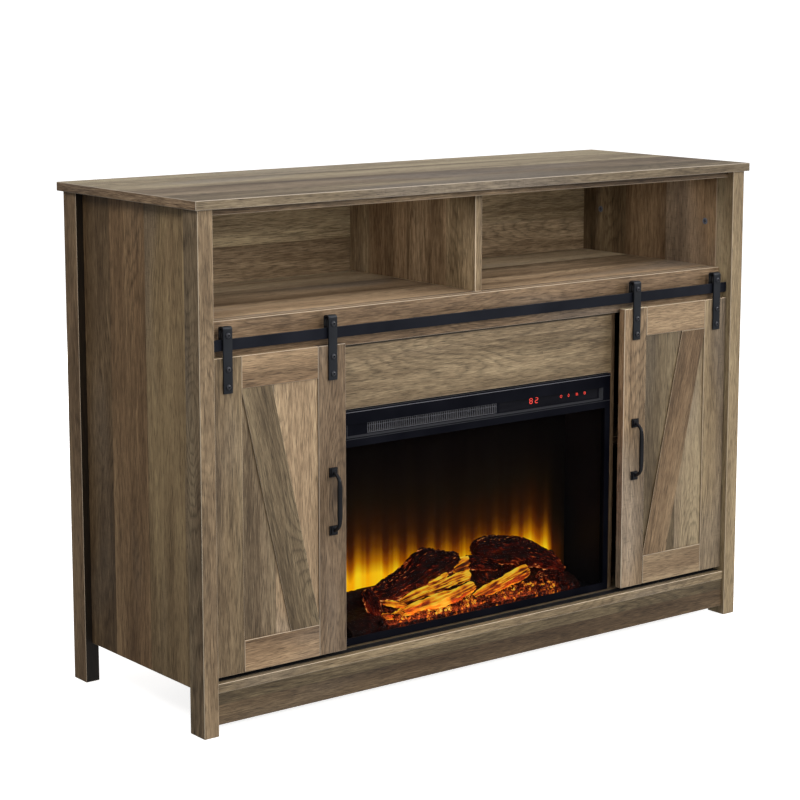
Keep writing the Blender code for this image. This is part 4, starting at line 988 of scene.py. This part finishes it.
def build_display():
    """Two red digits and four red touch symbols on the gloss strip."""
    low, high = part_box("touch_strip")
    middle, face = (low.z + high.z) / 2 + MARKS_RISE, low.y
    bm = bmesh.new()
    w, h = DIGIT_WIDTH / 2, DIGIT_HEIGHT / 2
    strokes = {
        "a": ((-w, h), (w, h)), "b": ((w, h), (w, 0)), "c": ((w, 0), (w, -h)), "d": ((-w, -h), (w, -h)),
        "e": ((-w, 0), (-w, -h)), "f": ((-w, h), (-w, 0)), "g": ((-w, 0), (w, 0)),
    }
    for digit, centre in DIGITS:
        for stroke in SEGMENTS[digit]:
            start, end = (Vector((x * 0.78 + centre, z * 0.84 + middle)) for x, z in strokes[stroke])
            trim = (end - start).normalized() * 0.9 * MM
            add_bar(bm, start + trim, end - trim, DIGIT_STROKE, face)
    place_piece("display_digits", bm, "gloss_strip", INDICATOR, crease=0)

    bm = bmesh.new()

    def polyline(points, closed=False):
        following = points[1:] + (points[:1] if closed else [])
        for start, end in zip(points, following):
            add_bar(bm, start, end, SYMBOL_STROKE, face)

    def mark(x, points, closed=False):
        """A line through points given in symbol radii from the symbol's middle."""
        polyline([(x + across * SYMBOL, middle + up * SYMBOL) for across, up in points], closed)

    def circle(start=0.0, turn=360.0):
        angles = [math.radians(start + turn * step / 14) for step in range(15)]
        return [(math.sin(a), math.cos(a)) for a in angles]

    mark(POWER_X, circle(35, 290))
    polyline([(POWER_X, middle + 0.3 * MM), (POWER_X, middle + SYMBOL + 0.4 * MM)])
    mark(FLAME_X, [(0, 1.25), (0.75, 0.25), (0.8, -0.5), (0, -1.1), (-0.8, -0.5), (-0.45, 0.2)], True)
    for shift in (-0.8, 0.0, 0.8):
        mark(WARM_X, [(shift + 0.25 * math.sin(step * 1.1), step / 5 - 1) for step in range(11)])
    mark(TIMER_X, circle(), True)
    mark(TIMER_X, [(0, 0.62), (0, 0), (0.5, -0.2)])
    place_piece("touch_symbols", bm, "gloss_strip", INDICATOR, crease=0)


# -------- logs and embers


def bark_relief(angle, travelled, seed, furrows):
    """A log's lumps and the height of its bark, at an angle round it and a distance along it."""
    twisted = angle + travelled * 5
    across, up = math.cos(twisted), math.sin(twisted)

    def layer(scale, pace, shift):
        return noise.noise(Vector((across * scale, up * scale, travelled * pace + seed * shift)))

    furrow, split, crack = abs(layer(furrows, 11, 2)), abs(layer(2 * furrows, 22, 4)), layer(14, 75, 3)
    return layer(1.4, 26, 1), 1.0 - min(1.0, 2.6 * furrow + 0.9 * split) + 0.25 * crack


def add_log(bm, sections, seed, ridge, sides, steps, lumps, furrows):
    """A log lofted through (x, setback, z, radius) sections in millimetres, with furrowed bark.

    The ridge is the bark's depth in millimetres, and the lumps are a share of the log's radius.
    """
    stations = [Vector((x * MM, behind(setback * MM), z * MM, radius * MM))
                for x, setback, z, radius in sections]
    spine = smooth_path(stations, steps)
    rings, heights = [], []
    travelled = 0.0
    for number, station in enumerate(spine):
        before, after = spine[max(number - 1, 0)], spine[min(number + 1, len(spine) - 1)]
        run = (after.xyz - before.xyz).normalized()
        travelled += (station.xyz - before.xyz).length
        level = Vector((0, 1, 0))
        upright = run.cross(level).normalized()
        level = upright.cross(run)
        ring, row = [], []
        for angle in circle_angles(sides):
            lump, height = bark_relief(angle, travelled, seed, furrows)
            radius = station.w * (1 + lumps * lump) + ridge * MM * (1.6 * height - 1.1)
            outward = math.cos(angle) * 0.88 * level + math.sin(angle) * upright
            ring.append(station.xyz + radius * outward)
            row.append(max(0.0, min(1.0, height)))
        rings.append(ring)
        heights.append(row)
    for end, inward in ((0, 1), (-1, -2)):
        core = spine[end].xyz
        cut = [core + (point - core) * 0.70 for point in rings[end]]
        run = (rings[end][0] - rings[inward][0]).normalized()
        cut = [point + run * MM * (1.0 + 2.4 * noise.noise(point * 190)) for point in cut]
        rings = [cut] + rings if end == 0 else rings + [cut]
        heights = [heights[0]] + heights if end == 0 else heights + [heights[-1]]
    layer = bm.verts.layers.float.get("relief") or bm.verts.layers.float.new("relief")
    for vertices, row in zip(add_rings(bm, rings), heights):
        for vertex, height in zip(vertices, row):
            vertex[layer] = height


# Sections of each log: X, setback, height and radius in millimetres
CHARRED_LOGS = [
    [(-192, 112, 142, 13), (-164, 112, 143, 19), (-128, 114, 150, 24), (-92, 116, 159, 29),
     (-62, 117, 171, 34), (-38, 117, 173, 27), (-12, 116, 175, 20), (9, 114, 179, 13)],
    [(49, 114, 188, 15), (62, 115, 187, 20), (95, 116, 181, 25), (130, 117, 174, 27), (165, 115, 162, 26),
     (198, 110, 151, 20), (226, 104, 138, 15), (249, 98, 121, 7)],
    [(-206, 100, 156, 8), (-196, 98, 138, 14), (-189, 94, 116, 12), (-186, 90, 100, 10)],
    [(24, 106, 168, 13), (40, 108, 167, 14), (70, 110, 160, 14), (96, 108, 152, 10)],
    [(182, 92, 121, 7), (205, 92, 122, 9), (230, 92, 118, 8)],
]
GLOWING_LOGS = [
    [(-163, 82, 106, 6), (-122, 81, 112, 10), (-72, 80, 117, 12), (-22, 80, 124, 12), (19, 82, 132, 10)],
    [(-132, 97, 125, 5), (-92, 97, 132, 9), (-42, 97, 140, 10), (0, 97, 147, 10), (22, 98, 148, 9)],
    [(-86, 102, 146, 8), (-62, 103, 150, 11), (-26, 106, 157, 9)],
    [(23, 82, 111, 6), (58, 82, 118, 10), (98, 83, 128, 12), (134, 84, 137, 11), (149, 84, 140, 9)],
    [(-6, 106, 162, 8), (10, 107, 166, 13), (26, 108, 168, 13)],
    [(-178, 86, 134, 4), (-152, 85, 127, 6), (-128, 84, 118, 5)],
    [(-182, 82, 110, 6), (-170, 80, 109, 7), (-163, 79, 107, 5)],
]


def build_logs():
    bm = bmesh.new()
    for number, sections in enumerate(CHARRED_LOGS):
        add_log(bm, sections, seed=3.7 * number + 1.3, ridge=3.0, sides=72, steps=14, lumps=0.16,
                furrows=5.5)
    place_piece("charred_logs", bm, "log_resin", CHARRED, nodes=["log_set"], crease=60)
    bm = bmesh.new()
    for number, sections in enumerate(GLOWING_LOGS):
        add_log(bm, sections, seed=5.1 * number + 2.9, ridge=2.1, sides=44, steps=12, lumps=0.42,
                furrows=2.2)
    place_piece("glowing_logs", bm, "ember_resin", GLOWING, crease=60)


# Setback and height of the ember mound from its front to its back, in millimetres
BED_PROFILE = [
    (64, 99), (70, 103), (86, 113), (104, 117), (122, 121), (132, 136), (140, 146), (145.5, 147.5),
]
PEBBLES = 430
GRAVEL_SEED = 11


def bed_height(x, setback):
    """Height of the ember mound, in metres, before its gravel."""
    here = setback / MM
    for (s0, z0), (s1, z1) in zip(BED_PROFILE, BED_PROFILE[1:]):
        if here <= s1:
            share = max(0.0, (here - s0) / (s1 - s0))
            base = z0 + (z1 - z0) * share
            break
    spot = Vector((x * 28, setback * 28, 0.7))
    return (base + 2.6 * noise.noise(spot)) * MM


def build_ember_bed():
    """The moulded ember mound with its lumps, closed down to the case floor."""
    low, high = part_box("ember_bed")
    columns, rows = 230, 36
    front, back = BED_PROFILE[0][0], BED_PROFILE[-1][0]
    bm = bmesh.new()
    layer = bm.verts.layers.float.new("relief")
    grid = []
    for row in range(rows + 1):
        setback = (front + (back - front) * row / rows) * MM
        line = []
        for column in range(columns + 1):
            x = low.x + (high.x - low.x) * column / columns
            lumps = noise.voronoi(Vector((x * 130, setback * 130, 0)))[0][0]
            z = bed_height(x, setback) + (1.9 - 3.4 * lumps) * MM
            vertex = bm.verts.new((x, behind(setback), min(z, high.z)))
            vertex[layer] = max(0.0, 1.0 - 1.6 * lumps)
            line.append(vertex)
        grid.append(line)
    for first, second in zip(grid, grid[1:]):
        for number in range(columns):
            bm.faces.new((first[number], first[number + 1], second[number + 1], second[number]))
    rim = [edge for edge in bm.edges if edge.is_boundary]
    walls = bmesh.ops.extrude_edge_only(bm, edges=rim)["geom"]
    foot = [item for item in walls if isinstance(item, bmesh.types.BMVert)]
    for vertex in foot:
        vertex.co.z = low.z
    bmesh.ops.contextual_create(bm, geom=[edge for edge in bm.edges if edge.is_boundary])
    place_piece("ember_mound", bm, "ember_resin", EMBERS, nodes=["ember_bed"], crease=60)


def build_gravel():
    """Loose ember pebbles along the front of the mound."""
    chance = random.Random(GRAVEL_SEED)
    noise.seed_set(GRAVEL_SEED)  # noise_vector starts from a random place without it
    bm = bmesh.new()
    layer = bm.verts.layers.float.new("relief")
    for _ in range(PEBBLES):
        x = chance.triangular(-205, 245, 40) * MM
        setback = chance.triangular(66, 96, 70) * MM
        size = chance.uniform(1.5, 3.6) * MM
        if abs(x) > 150 * MM:
            size *= 1.5
        squash = [chance.uniform(0.7, 1.3) for _ in range(3)]
        angle = chance.uniform(0, math.tau)
        turn = Matrix.Rotation(angle, 4, Vector([chance.uniform(-1, 1) for _ in range(3)]))
        height = bed_height(x, setback) + 0.6 * size
        placed = Matrix.Translation((x, behind(setback), height)) @ turn @ Matrix.Diagonal((*squash, 1))
        made = bmesh.ops.create_icosphere(bm, subdivisions=2, radius=size, matrix=placed)["verts"]
        lit = chance.uniform(0.0, 1.0) ** 1.4
        for vertex in made:
            vertex.co += noise.noise_vector(vertex.co * 420) * 0.28 * size
            vertex[layer] = lit
    place_piece("ember_pebbles", bm, "ember_resin", EMBERS, crease=50)


# -------- studio


CAMERA_PLACE = (-2.4435, -3.0972, 1.1918)
CAMERA_YAW = 37.71
CAMERA_PITCH = 9.165
CAMERA_LENS = 100.3
CAMERA_SHIFT = -0.07
FLOOR_REACH = 150
WALL_RADIUS = 55
WALL_HEIGHT = 60


def build_camera():
    data = bpy.data.cameras.new("camera")
    data.lens = CAMERA_LENS
    data.sensor_width = 36
    data.shift_y = CAMERA_SHIFT
    data.clip_end = 400
    camera = bpy.data.objects.new("camera", data)
    camera.location = CAMERA_PLACE
    camera.rotation_euler = (math.radians(90 - CAMERA_PITCH), 0, math.radians(-CAMERA_YAW))
    show(camera)
    bpy.context.scene.camera = camera


def stage_sheet(name, bm, glow):
    """A white studio surface that the camera sees, and that puts no light or reflection on the object."""
    material, g = new_look(name)
    g.set(Base_Color=(0.82, 0.82, 0.82, 1.0), Roughness=0.9, Specular_IOR_Level=0.0)
    g.set(Emission_Color=(1.0, 1.0, 1.0, 1.0), Emission_Strength=glow)
    sheet = bpy.data.objects.new(name, mesh_of(bm, name, [material]))
    sheet.location.z = cad_box[0][2] - 0.5 * MM
    sheet.visible_diffuse = False
    sheet.visible_glossy = False
    show(sheet)
    return sheet


def build_floor_and_wall():
    bm = bmesh.new()
    bmesh.ops.create_grid(bm, x_segments=1, y_segments=1, size=FLOOR_REACH)
    stage_sheet("studio_floor", bm, 0.8)
    bm = bmesh.new()
    bmesh.ops.create_cone(bm, segments=64, radius1=WALL_RADIUS, radius2=WALL_RADIUS, depth=WALL_HEIGHT)
    wall = stage_sheet("studio_wall", bm, 1.0)
    wall.visible_shadow = False


def build_world():
    """A pale room, brighter overhead and in front."""
    world = bpy.data.worlds.new("studio")
    bpy.context.scene.world = world
    world.use_nodes = True
    g = Graph(world.node_tree)
    x, y, z = g.split(g.coords("Generated"))[:3]
    front = g.math("MAXIMUM", g.times(y, -1.0), 0.0)
    light = g.times_plus(g.math("MAXIMUM", z, 0.0), 0.30, 0.22)
    light = g.times_plus(front, 0.34, light)
    light = g.times(light, g.times_plus(x, 0.5, 1.0))
    background = world.node_tree.nodes["Background"]
    background.inputs["Color"].default_value = (1.0, 1.0, 1.0, 1.0)
    g.feed(background.inputs["Strength"], light)


def add_area(name, place, aim, size, watts, color):
    data = bpy.data.lights.new(name, "AREA")
    data.shape = "RECTANGLE"
    data.size, data.size_y = size
    data.energy = watts
    data.color = color
    lamp = bpy.data.objects.new(name, data)
    lamp.location = place
    lamp.rotation_euler = (Vector(aim) - Vector(place)).to_track_quat("-Z", "Y").to_euler()
    lamp.visible_camera = False
    lamp.visible_glossy = name == "softbox"
    show(lamp)


def build_lights():
    add_area("softbox", (2.6, -3.0, 2.3), (0.1, 0, 0.4), (1.4, 1.8), 62, (1.0, 0.985, 0.96))
    add_area("front", (-0.5, -4.2, 1.9), (0, 0, 0.6), (2.4, 0.7), 78, (1.0, 0.99, 0.97))
    add_area("overhead", (0.3, -0.7, 3.2), (0, 0, 0.8), (1.6, 1.0), 26, (1.0, 1.0, 1.0))
    add_area("left", (-1.6, -0.8, 1.9), (-0.6, 0, 0.9), (0.7, 0.7), 11, (1.0, 0.98, 0.95))
    for side, sign in SIDES:
        x = sign * 290 * MM
        add_area(f"{side}_bay", (x, behind(50 * MM), 812 * MM), (x, behind(260 * MM), 640 * MM),
                 (0.46, 0.05), 0.36, (1.0, 0.99, 0.97))
    add_area("rear", (1.2, 3.6, 1.1), (0, 0.2, 0.5), (2.2, 1.4), 68, (1.0, 1.0, 1.0))
    for number, x in enumerate((-0.13, -0.02, 0.10)):
        add_area(f"ember_lamp_{number}", (x, behind(60 * MM), 104 * MM), (x, behind(118 * MM), 150 * MM),
                 (0.10, 0.012), 0.32, (1.0, 0.25, 0.06))


# -------- the whole scene


def main():
    bpy.context.scene.view_settings.view_transform = "Standard"
    build_camera()
    build_floor_and_wall()
    build_world()
    build_lights()
    finish_cad_nodes()
    for side, _ in SIDES:
        build_handle(side)
        for place in ("inner", "outer"):
            build_hanger(side, place)
    build_cam_fittings()
    build_back_screws()
    build_case_cover()
    build_grille()
    build_fascia_bead()
    build_display()
    build_ember_bed()
    build_gravel()
    build_logs()


main()
